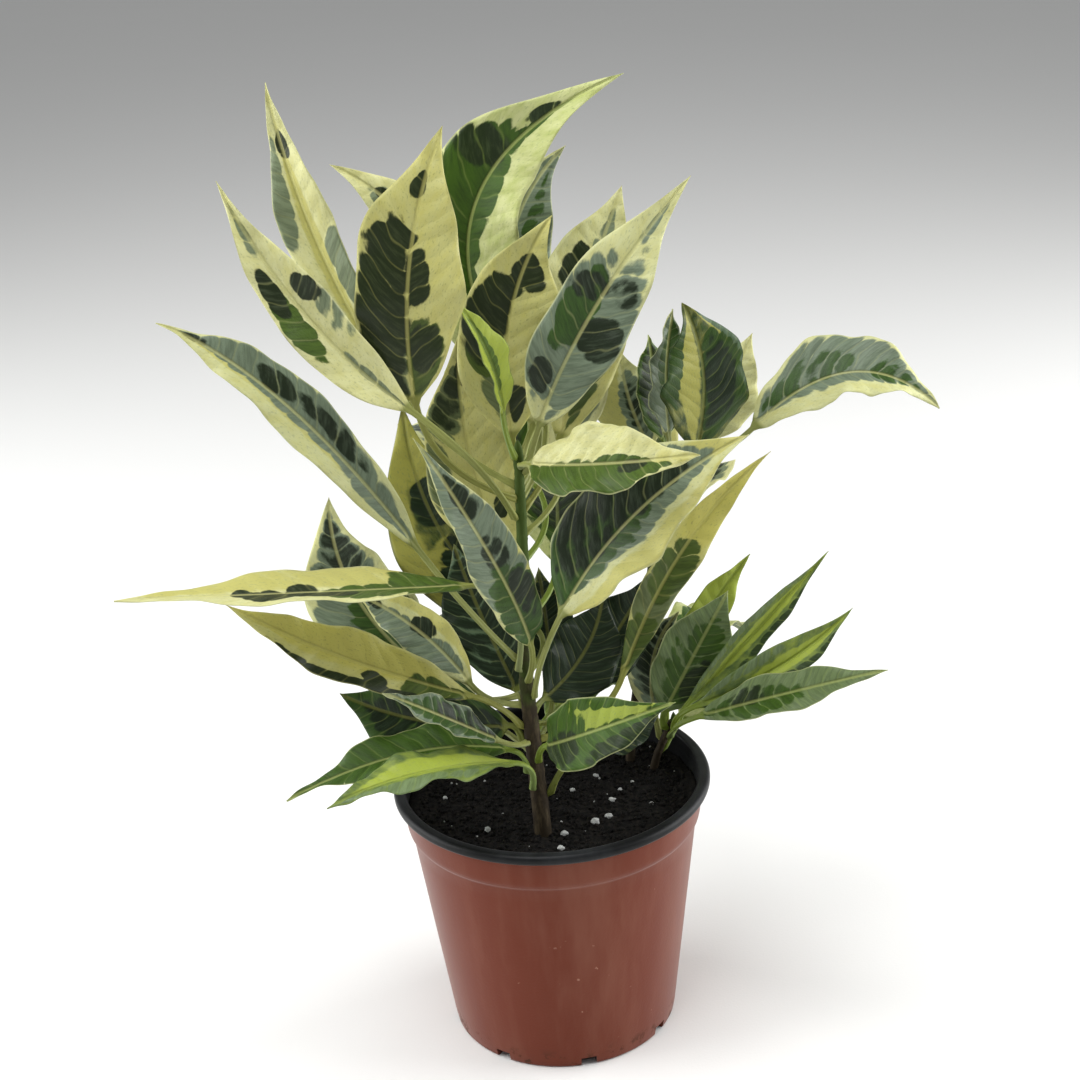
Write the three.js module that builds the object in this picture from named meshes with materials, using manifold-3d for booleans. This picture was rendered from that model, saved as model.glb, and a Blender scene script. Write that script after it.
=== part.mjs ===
// A potted croton: a leafy plant with three stems in a round nursery pot filled with peat mix.
// Millimetres, +Z up. The origin is the centre of the pot's underside.

import * as THREE from 'three';
import { mergeVertices } from 'three/addons/utils/BufferGeometryUtils.js';
import Module from 'manifold-3d';

const wasm = await Module();
wasm.setup();

// Driving dimensions of the pot
const potHeight = 120;
const potRimRadius = 70;
const potBaseRadius = 50.5;
const wallThickness = 1.6;
const floorThickness = 2;
const lipHeight = 4.5;
const lipOverhang = 2.6;
const collarDrop = 15;
const collarStep = 1.4;
const edgeRounding = 1.2;
const slotCount = 8;
const slotWidth = 7;
const slotHeight = 4.5;
const slotDepth = 5;
const firstSlotBearing = 10;
const potSides = 72;

// Potting mix
const fillDrop = 11;
const soilRipple = 1.2;
const soilSides = 36;
const soilRings = [58, 48, 36, 24, 12, 0];
const boreSides = 16;

// Growth
const touchGap = 0.35;
const stemSides = 10;
const stemSteps = 14;
const stemDepthInSoil = 26;
const holeDepthInSoil = 30;
const stalkHalfWidth = 1.3;
const stalkHalfThickness = 1.1;
const bladeThickness = 0.8;
const stalkSteps = 3;
const stalkShare = 0.98;
const bladeSteps = 9;
const wavesPerBlade = 3.2;
const waveShiftPerLeaf = 2.4;
const waveShiftAcross = 1.9;
const baseSharpness = 0.8;
const tipSharpness = 1.05;

const soilLevel = potHeight - fillDrop;

const radians = THREE.MathUtils.degToRad;
const point = (xyz) => new THREE.Vector3(...xyz);

// Each stem is a list of points on its centre line, lowest first, and its two radii
const stems = {
  main: {
    name: 'stem_main',
    centre: [[-5, -32, soilLevel], [-8, -25, 180], [-6, -23, 230], [-5, -21, 281]],
    footRadius: 3.8,
    topRadius: 1.8,
    colour: 0x6b5a3c,
  },
  back: {
    name: 'stem_back',
    centre: [[36, 26, soilLevel], [41, 37, 140], [49, 40, 191], [53, 40, 214], [60, 41, 229], [68, 42, 247]],
    footRadius: 2.1,
    topRadius: 1.6,
    colour: 0x5d4a38,
  },
  right: {
    name: 'stem_right',
    centre: [[46, 18, soilLevel], [50, 17, 122], [56, 15, 135]],
    footRadius: 1.9,
    topRadius: 1.6,
    colour: 0x6d7a45,
  },
};

// What the leaves are coloured like: [colour, roughness]
const finishes = {
  cream: [0xc9c98c, 0.42],
  olive: [0xb0a855, 0.42],
  marbled: [0x7f9080, 0.4],
  green: [0x4c6a2c, 0.38],
  dark: [0x2c4420, 0.38],
  lime: [0x93a536, 0.38],
};

// One row for each leaf: name, stem, height of its joint, then the midrib's points where the blade begins,
// halfway and at the tip, where the upper side looks [bearing, rise], width, fold, wave and finish
const leaves = [
  ['leaf_crown_01', 'main', 266, [-54, -8, 309], [-79, -4, 368], [-93, 4, 428], [-115, 20], 26, 18, 1.5, 'cream'],
  ['leaf_crown_02', 'main', 253, [-45, -50, 310], [-81, -54, 352], [-108, -52, 403], [-100, 30], 24, 18, 2, 'cream'],
  ['leaf_crown_03', 'main', 261, [-43, -44, 311], [-41, -46, 365], [-25, -32, 414], [-90, 10], 42, 12, 2, 'olive'],
  ['leaf_crown_04', 'main', 259, [2, 22, 296], [-35, 34, 354], [-75, 42, 387], [-90, 20], 28, 12, 1.5, 'cream'],
  ['leaf_crown_05', 'main', 269, [-4, 6, 300], [-16, 8, 374], [45, 4, 423], [-105, 10], 46, 20, 2, 'green'],
  ['leaf_crown_06', 'main', 263, [2, 11, 290], [-4, 26, 348], [22, 36, 390], [-90, 10], 38, 12, 2, 'marbled'],
  ['leaf_crown_07', 'main', 276, [-7, -18, 285], [-5, -17, 334], [14, -12, 373], [-90, 10], 40, 12, 2, 'olive'],
  ['leaf_crown_08', 'main', 279, [-10, -30, 299], [-14, -38, 326], [-25, -46, 351], [-35, 10], 17, 28, 0.8, 'lime'],
  ['leaf_crown_09', 'main', 272, [4, -26, 292], [28, -28, 339], [68, -16, 386], [-95, 10], 34, 14, 2, 'marbled'],
  ['leaf_crown_10', 'main', 277, [1, -12, 286], [25, 0, 338], [43, 14, 377], [-90, 10], 38, 10, 2, 'cream'],
  ['leaf_crown_11', 'main', 275, [-1, -34, 279], [28, -55, 285], [64, -68, 291], [-90, 45], 32, 18, 2.5, 'cream'],
  ['leaf_middle_01', 'main', 224, [-10, -14, 229], [-25, -2, 273], [-26, 0, 324], [-90, 10], 40, 12, 2, 'olive'],
  ['leaf_middle_02', 'main', 180, [-6, 10, 190], [-41, 18, 232], [-53, 26, 287], [-90, 15], 44, 12, 2, 'dark'],
  ['leaf_middle_03', 'main', 190, [-48, -32, 245], [-95, -32, 310], [-141, -30, 345], [-90, 50], 24, 18, 2, 'marbled'],
  ['leaf_middle_04', 'main', 186, [-28, -45, 233], [-93, -58, 240], [-164, -70, 247], [-90, 88], 32, 14, 1, 'cream'],
  ['leaf_middle_05', 'main', 172, [-45, -4, 170], [-78, 4, 209], [-86, 8, 254], [-90, 15], 42, 12, 2, 'marbled'],
  ['leaf_middle_06', 'main', 168, [-32, -16, 175], [-54, -10, 200], [-82, -4, 217], [-90, 45], 21, 14, 2, 'marbled'],
  ['leaf_middle_07', 'main', 178, [-12, -14, 169], [-26, -3, 202], [-35, 4, 231], [-90, 10], 32, 12, 2, 'dark'],
  ['leaf_middle_08', 'main', 181, [-5, -40, 203], [-18, -54, 248], [-45, -48, 298], [-70, 25], 25, 20, 2, 'marbled'],
  ['leaf_middle_09', 'main', 174, [8, -44, 217], [40, -44, 259], [85, -46, 290], [-134, 20], 47, 18, 2, 'marbled'],
  ['leaf_middle_10', 'main', 152, [33, -12, 172], [62, 8, 220], [101, 14, 260], [-90, 10], 18, 16, 2, 'olive'],
  ['leaf_middle_11', 'main', 164, [-1, -17, 166], [18, -3, 181], [27, 4, 204], [-90, 10], 32, 10, 2, 'dark'],
  ['leaf_middle_12', 'main', 158, [15, 8, 156], [33, 22, 177], [49, 28, 200], [-90, 10], 30, 10, 2, 'dark'],
  ['leaf_back_01', 'back', 246, [97, 42, 261], [139, 40, 284], [176, 32, 268], [-90, 60], 38, 20, 2, 'marbled'],
  ['leaf_back_02', 'back', 237, [71, 34, 256], [75, 32, 291], [67, 32, 322], [-65, 5], 42, 10, 2, 'dark'],
  ['leaf_back_03', 'back', 240, [60, 42, 260], [60, 44, 289], [64, 44, 316], [-50, 5], 24, 14, 2, 'marbled'],
  ['leaf_back_04', 'back', 236, [59, 52, 254], [56, 56, 279], [54, 58, 301], [-60, 10], 24, 14, 1.5, 'green'],
  ['leaf_back_05', 'back', 232, [53, 60, 248], [45, 66, 269], [42, 70, 291], [-90, 10], 34, 12, 2, 'marbled'],
  ['leaf_back_06', 'back', 238, [77, 52, 253], [88, 58, 274], [100, 64, 297], [-90, 10], 28, 12, 2, 'cream'],
  ['leaf_right_01', 'right', 134, [63, 10, 146], [93, 8, 180], [124, 6, 216], [-70, 30], 15, 26, 1, 'lime'],
  ['leaf_right_02', 'right', 131, [65, 0, 149], [103, -8, 171], [131, -14, 198], [-90, 40], 18, 24, 1, 'lime'],
  ['leaf_right_03', 'right', 128, [66, -6, 147], [103, -22, 164], [142, -36, 179], [-90, 50], 20, 20, 1.5, 'green'],
  ['leaf_right_04', 'right', 127, [56, 26, 144], [73, 32, 177], [94, 36, 204], [-90, 10], 18, 14, 1.5, 'lime'],
  ['leaf_right_05', 'right', 132, [52, 14, 140], [67, 16, 168], [82, 18, 195], [-90, 10], 34, 12, 2, 'green'],
  ['leaf_right_06', 'right', 125, [48, 22, 136], [49, 26, 162], [61, 26, 183], [-90, 10], 24, 12, 2, 'marbled'],
  ['leaf_low_01', 'main', 145, [-1, -44, 158], [18, -62, 173], [51, -72, 189], [-90, 35], 30, 20, 2, 'green'],
  ['leaf_low_02', 'main', 128, [20, -30, 149], [34, -26, 152], [48, -22, 159], [-90, 35], 16, 14, 2, 'dark'],
  ['leaf_low_03', 'main', 140, [-17, -38, 154], [-60, -44, 158], [-110, -52, 144], [-90, 75], 26, 16, 2, 'green'],
  ['leaf_low_04', 'main', 133, [-15, -48, 153], [-53, -72, 164], [-89, -88, 160], [-90, 75], 22, 16, 2, 'lime'],
  ['leaf_low_05', 'main', 152, [-17, -24, 158], [-54, -20, 161], [-87, -20, 176], [-90, 15], 42, 12, 2, 'dark'],
  ['leaf_low_06', 'main', 153, [-21, -46, 163], [-43, -56, 181], [-65, -62, 196], [-90, 60], 16, 20, 1.5, 'marbled'],
  ['leaf_low_07', 'main', 160, [-31, -32, 177], [-83, -40, 203], [-126, -44, 231], [-90, 50], 25, 18, 2, 'olive'],
  ['leaf_rear_01', 'main', 244, [14, 10, 262], [18, 58, 285], [20, 102, 280], [-90, 70], 38, 16, 2, 'cream'],
  ['leaf_rear_02', 'main', 216, [-14, 22, 240], [-38, 66, 258], [-60, 104, 246], [-60, 70], 38, 16, 2, 'marbled'],
  ['leaf_rear_03', 'main', 206, [8, 12, 216], [10, 60, 228], [6, 105, 216], [-90, 75], 42, 16, 2, 'green'],
  ['leaf_rear_04', 'main', 156, [-16, 8, 166], [-34, 48, 172], [-52, 86, 158], [-90, 80], 34, 16, 2, 'dark'],
  ['leaf_rear_05', 'back', 205, [62, 62, 214], [78, 96, 222], [90, 128, 208], [-110, 75], 34, 16, 2, 'cream'],
  ['leaf_rear_06', 'back', 150, [58, 54, 158], [82, 84, 150], [100, 112, 128], [-100, 75], 32, 16, 2, 'green'],
  ['leaf_rear_07', 'main', 140, [0, 6, 145], [22, 42, 146], [36, 78, 134], [-90, 80], 32, 16, 2, 'lime'],
  ['leaf_rear_08', 'main', 255, [12, 0, 276], [28, 30, 312], [38, 62, 322], [-80, 50], 34, 16, 2, 'olive'],
  ['leaf_rear_09', 'main', 232, [2, 14, 250], [-18, 52, 280], [-30, 88, 292], [-70, 60], 36, 16, 2, 'green'],
  ['leaf_rear_10', 'main', 147, [-30, -2, 154], [-62, 24, 160], [-92, 44, 150], [-70, 75], 32, 16, 2, 'marbled'],
  ['leaf_rear_11', 'back', 216, [56, 56, 230], [50, 90, 256], [42, 120, 262], [-90, 60], 34, 16, 2, 'olive'],
  ['leaf_rear_12', 'right', 120, [60, 24, 130], [82, 44, 140], [104, 62, 134], [-110, 75], 28, 16, 2, 'green'],
  ['leaf_rear_13', 'main', 150, [3, 16, 160], [2, 26, 182], [0, 31, 206], [-90, 10], 26, 10, 2, 'dark'],
];

function meshFrom(name, geometry, colour, roughness) {
  geometry.computeVertexNormals();
  const material = new THREE.MeshStandardMaterial({ color: colour, roughness, metalness: 0 });
  const mesh = new THREE.Mesh(geometry, material);
  mesh.name = name;
  return mesh;
}

function geometryFrom(points, triangles) {
  const geometry = new THREE.BufferGeometry();
  geometry.setAttribute('position', new THREE.Float32BufferAttribute(points.flatMap((p) => p.toArray()), 3));
  geometry.setIndex(triangles.flat());
  return geometry;
}

function solidFrom(geometry) {
  const bare = geometry.clone();
  bare.deleteAttribute('normal');
  bare.deleteAttribute('uv');
  const merged = mergeVertices(bare, 1e-4);
  return new wasm.Manifold(new wasm.Mesh({
    numProp: 3,
    vertProperties: new Float32Array(merged.attributes.position.array),
    triVerts: new Uint32Array(merged.index.array),
  }));
}

function geometryOf(solid) {
  const mesh = solid.getMesh();
  const geometry = new THREE.BufferGeometry();
  geometry.setAttribute('position', new THREE.BufferAttribute(new Float32Array(mesh.vertProperties), 3));
  geometry.setIndex(new THREE.BufferAttribute(new Uint32Array(mesh.triVerts), 1));
  return geometry;
}

// Turns a profile of [radius, height] pairs, listed up the outside, about the Z axis
function turned(profile, sides) {
  const geometry = new THREE.LatheGeometry(profile.map(([r, z]) => new THREE.Vector2(r, z)), sides);
  return geometry.rotateX(Math.PI / 2);
}

// The wall's outer radius at a height, from the foot of the pot to its lip
function potRadiusAt(z) {
  const topRadius = potRimRadius - lipOverhang - collarStep;
  return potBaseRadius + ((topRadius - potBaseRadius) * z) / potHeight;
}

function makePot() {
  const collarLevel = potHeight - lipHeight - collarDrop;
  const lipLevel = potHeight - lipHeight;
  const inner = (z) => potRadiusAt(z) - wallThickness;
  const profile = [
    [0, 0],
    [potBaseRadius - edgeRounding, 0],
    [potRadiusAt(edgeRounding), edgeRounding],
    [potRadiusAt(collarLevel), collarLevel],
    [potRadiusAt(collarLevel) + collarStep, collarLevel + collarStep],
    [potRadiusAt(lipLevel) + collarStep, lipLevel],
    [potRimRadius - edgeRounding, lipLevel],
    [potRimRadius, lipLevel + edgeRounding],
    [potRimRadius, potHeight - edgeRounding],
    [potRimRadius - edgeRounding, potHeight],
    [potRimRadius - lipOverhang - edgeRounding, potHeight],
    [potRimRadius - lipOverhang - 2 * edgeRounding, potHeight - edgeRounding],
    [inner(lipLevel) + collarStep, lipLevel],
    [inner(collarLevel) + collarStep, collarLevel + collarStep],
    [inner(collarLevel), collarLevel],
    [inner(floorThickness), floorThickness],
    [0, floorThickness],
  ];
  let shell = solidFrom(turned(profile, potSides));
  for (let i = 0; i < slotCount; i += 1) {
    const bearing = radians(firstSlotBearing + (i * 360) / slotCount);
    const reach = slotDepth * 2;
    const cutter = new THREE.BoxGeometry(reach, slotWidth, slotHeight * 2)
      .translate(potBaseRadius - slotDepth + reach / 2, 0, 0)
      .rotateZ(bearing);
    shell = shell.subtract(solidFrom(cutter));
  }
  return meshFrom('pot', geometryOf(shell), 0x7a4035, 0.55);
}

// A stem's centre and radius at a height; below the soil it goes straight down
function stemAt(stem, z) {
  const level = Math.max(z, soilLevel);
  const above = stem.centre.findIndex((p) => p[2] >= level);
  const upper = stem.centre[Math.max(above, 1)];
  const lower = stem.centre[Math.max(above, 1) - 1];
  const share = (level - lower[2]) / (upper[2] - lower[2]);
  const top = stem.centre[stem.centre.length - 1][2];
  const rise = (level - soilLevel) / (top - soilLevel);
  return {
    centre: new THREE.Vector3(
      THREE.MathUtils.lerp(lower[0], upper[0], share),
      THREE.MathUtils.lerp(lower[1], upper[1], share),
      z,
    ),
    radius: THREE.MathUtils.lerp(stem.footRadius, stem.topRadius, rise),
  };
}

function makeStem(stem) {
  const top = stem.centre[stem.centre.length - 1][2];
  const foot = soilLevel - stemDepthInSoil;
  const levels = [foot];
  for (let i = 0; i <= stemSteps; i += 1) levels.push(THREE.MathUtils.lerp(soilLevel, top, i / stemSteps));
  const points = [];
  const triangles = [];
  for (const z of levels) {
    const { centre, radius } = stemAt(stem, z);
    for (let k = 0; k < stemSides; k += 1) {
      const turn = (k * 2 * Math.PI) / stemSides;
      points.push(new THREE.Vector3(radius * Math.cos(turn), radius * Math.sin(turn), 0).add(centre));
    }
  }
  for (let ring = 0; ring + 1 < levels.length; ring += 1) {
    for (let k = 0; k < stemSides; k += 1) {
      const a = ring * stemSides + k;
      const b = ring * stemSides + ((k + 1) % stemSides);
      triangles.push([a, b, b + stemSides], [a, b + stemSides, a + stemSides]);
    }
  }
  const last = (levels.length - 1) * stemSides;
  for (let k = 1; k + 1 < stemSides; k += 1) {
    triangles.push([0, k + 1, k], [last, last + k, last + k + 1]);
  }
  return meshFrom(stem.name, geometryFrom(points, triangles), stem.colour, 0.75);
}

function makeSoil() {
  const clear = wallThickness + touchGap;
  const bottom = floorThickness + touchGap;
  const collarLevel = potHeight - lipHeight - collarDrop;
  const profile = [
    [0, bottom],
    [potRadiusAt(bottom) - clear, bottom],
    [potRadiusAt(collarLevel) - clear, collarLevel],
    [potRadiusAt(soilLevel) - clear, soilLevel],
    ...soilRings.map((r) => [r, soilLevel]),
  ];
  const geometry = turned(profile, soilSides);
  const place = geometry.attributes.position;
  for (let i = 0; i < place.count; i += 1) {
    const x = place.getX(i);
    const y = place.getY(i);
    const onTop = place.getZ(i) > soilLevel - 0.01 && Math.hypot(x, y) < soilRings[0] + 1;
    if (onTop) place.setZ(i, soilLevel + soilRipple * Math.sin(x / 9) * Math.cos(y / 11));
  }
  let soil = solidFrom(geometry);
  for (const stem of Object.values(stems)) {
    const [x, y] = stem.centre[0];
    const depth = holeDepthInSoil * 1.3;
    const bore = new THREE.CylinderGeometry(stem.footRadius + touchGap, stem.footRadius + touchGap, depth, boreSides)
      .rotateX(Math.PI / 2)
      .translate(x, y, soilLevel - holeDepthInSoil + depth / 2);
    soil = soil.subtract(solidFrom(bore));
  }
  return meshFrom('potting_soil', geometryOf(soil), 0x17130f, 0.95);
}

// Half the blade's width as a share of its greatest: a pointed tip and a tapering base
function outline(u) {
  const widest = baseSharpness / (baseSharpness + tipSharpness);
  const most = widest ** baseSharpness * (1 - widest) ** tipSharpness;
  return (Math.max(u, 0) ** baseSharpness * Math.max(1 - u, 0) ** tipSharpness) / most;
}

// The curve from start to end that passes through a point halfway
function arc(start, through, end) {
  const pull = through.clone().multiplyScalar(2).addScaledVector(start, -0.5).addScaledVector(end, -0.5);
  return new THREE.QuadraticBezierCurve3(start, pull, end);
}

function makeLeaf([name, stemName, height, neck, bend, tip, looks, width, fold, wave, finish], index) {
  const stem = stemAt(stems[stemName], height);
  const start = point(neck);
  const away = new THREE.Vector3(start.x - stem.centre.x, start.y - stem.centre.y, 0).normalize();
  const blade = arc(start, point(bend), point(tip));
  const facing = new THREE.Vector3(
    Math.cos(radians(looks[1])) * Math.cos(radians(looks[0])),
    Math.cos(radians(looks[1])) * Math.sin(radians(looks[0])),
    Math.sin(radians(looks[1])),
  );
  // The stalk's cut end is square to its direction, and its nearest point lies a touch gap from the stem
  const stalkFrom = (endReach) => {
    const foot = stem.centre.clone().addScaledVector(away, stem.radius + touchGap + endReach);
    const pull = start.clone().addScaledVector(blade.getTangent(0), -foot.distanceTo(start) / 2);
    return new THREE.QuadraticBezierCurve3(foot, pull, start);
  };
  const direction = stalkFrom(stalkHalfThickness).getTangent(0);
  const endSide = direction.clone().cross(facing).normalize();
  const endNormal = endSide.clone().cross(direction).normalize();
  const stalk = stalkFrom(Math.hypot(stalkHalfWidth * endSide.dot(away), stalkHalfThickness * endNormal.dot(away)));
  const stations = [];
  for (let i = 0; i < stalkSteps; i += 1) stations.push({ curve: stalk, share: (i / stalkSteps) * stalkShare, u: 0 });
  for (let i = 1; i <= bladeSteps; i += 1) stations.push({ curve: blade, share: i / bladeSteps, u: i / bladeSteps });

  const across = [-1, -0.5, 0, 0.5, 1];
  const points = [];
  for (const { curve, share, u } of stations) {
    const centre = curve.getPoint(share);
    const tangent = curve.getTangent(share);
    const side = tangent.clone().cross(facing).normalize();
    const normal = side.clone().cross(tangent).normalize();
    const onBlade = u > 0;
    const half = onBlade ? Math.max((width / 2) * outline(u), stalkHalfWidth * 0.5) : stalkHalfWidth;
    const lift = onBlade ? Math.sin(radians(fold)) : 0;
    const spread = onBlade ? Math.cos(radians(fold)) : 1;
    const swell = onBlade ? wave * Math.sqrt(Math.max(u * (1 - u) * 4, 0)) : 0;
    const ring = (v, above) => {
      const turn = 2 * Math.PI * wavesPerBlade * u + index * waveShiftPerLeaf + (v < 0 ? waveShiftAcross : 0);
      const ripple = swell * v * v * Math.sin(turn);
      const thick = onBlade ? bladeThickness / 2 : stalkHalfThickness * Math.sqrt(1 - 0.75 * v * v);
      return centre.clone()
        .addScaledVector(side, half * v * spread)
        .addScaledVector(normal, half * Math.abs(v) * lift + ripple + (above ? thick : -thick));
    };
    for (const v of across) points.push(ring(v, true));
    for (const v of [...across].reverse()) points.push(ring(v, false));
  }

  const count = across.length * 2;
  const triangles = [];
  for (let k = 0; k + 1 < stations.length; k += 1) {
    for (let i = 0; i < count; i += 1) {
      const a = k * count + i;
      const b = k * count + ((i + 1) % count);
      const c = b + count;
      const d = a + count;
      if (i < across.length) triangles.push([a, b, c], [a, c, d]);
      else triangles.push([a, b, d], [b, c, d]);
    }
  }
  const last = (stations.length - 1) * count;
  for (let i = 0; i + 1 < across.length; i += 1) {
    const under = count - 1 - i;
    triangles.push([i, under, under - 1], [i, under - 1, i + 1]);
    triangles.push([last + i, last + i + 1, last + under - 1], [last + i, last + under - 1, last + under]);
  }
  const [colour, roughness] = finishes[finish];
  return meshFrom(name, geometryFrom(points, triangles), colour, roughness);
}

const croton = new THREE.Group();
croton.add(makePot(), makeSoil());
for (const stem of Object.values(stems)) croton.add(makeStem(stem));
leaves.forEach((row, index) => croton.add(makeLeaf(row, index)));

export default croton;
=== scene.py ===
"""A potted croton: variegated leaves on three stems, in a nursery pot filled with dark peat mix."""

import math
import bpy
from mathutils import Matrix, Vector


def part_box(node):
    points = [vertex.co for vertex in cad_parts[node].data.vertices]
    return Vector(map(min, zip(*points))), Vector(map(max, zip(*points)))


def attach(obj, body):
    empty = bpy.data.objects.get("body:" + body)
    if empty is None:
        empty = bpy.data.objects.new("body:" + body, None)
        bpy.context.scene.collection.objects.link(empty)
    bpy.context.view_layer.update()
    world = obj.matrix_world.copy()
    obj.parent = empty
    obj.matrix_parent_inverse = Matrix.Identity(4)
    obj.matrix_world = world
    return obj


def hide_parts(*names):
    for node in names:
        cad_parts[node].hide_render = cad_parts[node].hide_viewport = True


bl_info = {
    "name": "Potted croton",
    "version": (1, 0, 0),
    "blender": (4, 5, 0),
    "location": "View3D > Sidebar > Croton",
    "description": "Grows a variegated croton in its nursery pot",
    "category": "Add Mesh",
}

from collections import namedtuple

import bmesh
import bpy
import numpy as np
from mathutils import Matrix, Vector, noise

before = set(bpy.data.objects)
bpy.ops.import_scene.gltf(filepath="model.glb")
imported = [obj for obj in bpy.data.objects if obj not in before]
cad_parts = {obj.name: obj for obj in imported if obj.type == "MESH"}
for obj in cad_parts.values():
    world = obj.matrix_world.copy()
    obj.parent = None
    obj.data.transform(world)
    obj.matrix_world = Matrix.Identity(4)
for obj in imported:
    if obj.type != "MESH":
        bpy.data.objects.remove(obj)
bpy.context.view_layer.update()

MM = 0.001
BODY = "root"


def srgb(red, green, blue):
    """Turns an everyday 0 to 255 colour into a linear one with alpha."""
    linear = [(c / 255 + 0.055) / 1.055 for c in (red, green, blue)]
    return tuple(c**2.4 for c in linear) + (1.0,)


# The plant, in millimetres, in the part's own frame
SOIL_LEVEL = 109.0

# A stalk: half its width and thickness, the gap to the stem that its cut end keeps in the CAD, and how much
# of its curve is drawn before the blade takes over
STALK_HALF_WIDTH = 1.3
STALK_HALF_THICKNESS = 1.1
TOUCH_GAP = 0.35
STALK_SHARE = 0.98

# Where a stalk leaves the stem: how much it swells and over what length, how deep its heel sits in the stem,
# how far the heel runs down the stem, and the heel's size as a share of the stalk's
STALK_FLARE = 0.3
FLARE_REACH = 3.4
HEEL_DEPTH = 1.3
HEEL_DROP = 2.6
HEEL_SHARE = 0.55

# The outline of a blade: how sharp its base and tip are, how much the tip is pinched and where the pinch
# begins and ends, how far the edge wanders, and the least half width
BASE_SHARPNESS = 0.8
TIP_SHARPNESS = 1.05
TIP_PINCH = 0.36
PINCH_BEGINS = 0.66
PINCH_ENDS = 0.93
EDGE_WANDER = 0.055
LEAST_HALF_WIDTH = 0.12

# The waved edge: waves on a blade, their shift from leaf to leaf and from half to half, the finer ruffles on
# them, and the downward curl of the edge
WAVES_PER_BLADE = 3.2
WAVE_SHIFT_PER_LEAF = 2.4
WAVE_SHIFT_ACROSS = 1.9
RUFFLES_PER_WAVE = 2.7
RUFFLE_SHARE = 0.22
EDGE_CURL = 0.05
FOLD_BOW = 1.12

# The side veins: their spacing on a very short blade and its growth with the blade's length, slant and bow
VEIN_SPACING = 1.5
VEIN_SPACING_GROWTH = 0.066
VEIN_SLANT = 0.55
VEIN_BOW = 0.02

# The midrib: its reach to each side, its rise below the blade, the groove above it and its taper to the tip
RIB_REACH = 0.75
RIB_RISE = 0.95
GROOVE_DEPTH = 0.28
STALK_GROOVE = 0.35
RIB_TAPER = 0.75

# Columns of faces on half a blade, and how closely they crowd at the midrib
COLUMNS = 13
COLUMN_CROWDING = 1.35

# Where a mark starts to fade and where it ends, in shares of its reach
MARK_FADES = 0.65
MARK_ENDS = 1.3

# The pot's wall: its radius at the foot and at the top, its height and its thickness, and its floor's height
POT_FOOT_RADIUS = 50.5
POT_TOP_RADIUS = 66.0
POT_HEIGHT = 120
POT_WALL = 1.6
POT_FLOOR = 2.0

# Each stem: the points of its centre line, its radius at the soil and at its top
STEMS = {
    "main": ([(-5, -32, 109), (-8, -25, 180), (-6, -23, 230), (-5, -21, 281)], 3.8, 1.8),
    "back": (
        [(36, 26, 109), (41, 37, 140), (49, 40, 191), (53, 40, 214), (60, 41, 229), (68, 42, 247)],
        2.1,
        1.6,
    ),
    "right": ([(46, 18, 109), (50, 17, 122), (56, 15, 135)], 1.9, 1.6),
}

# The dry stub of a dead side shoot on the back stem
SPUR_FOOT = (51.0, 39.0, 201.0)
SPUR_TIP = (44.5, 34.0, 211.5)

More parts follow.
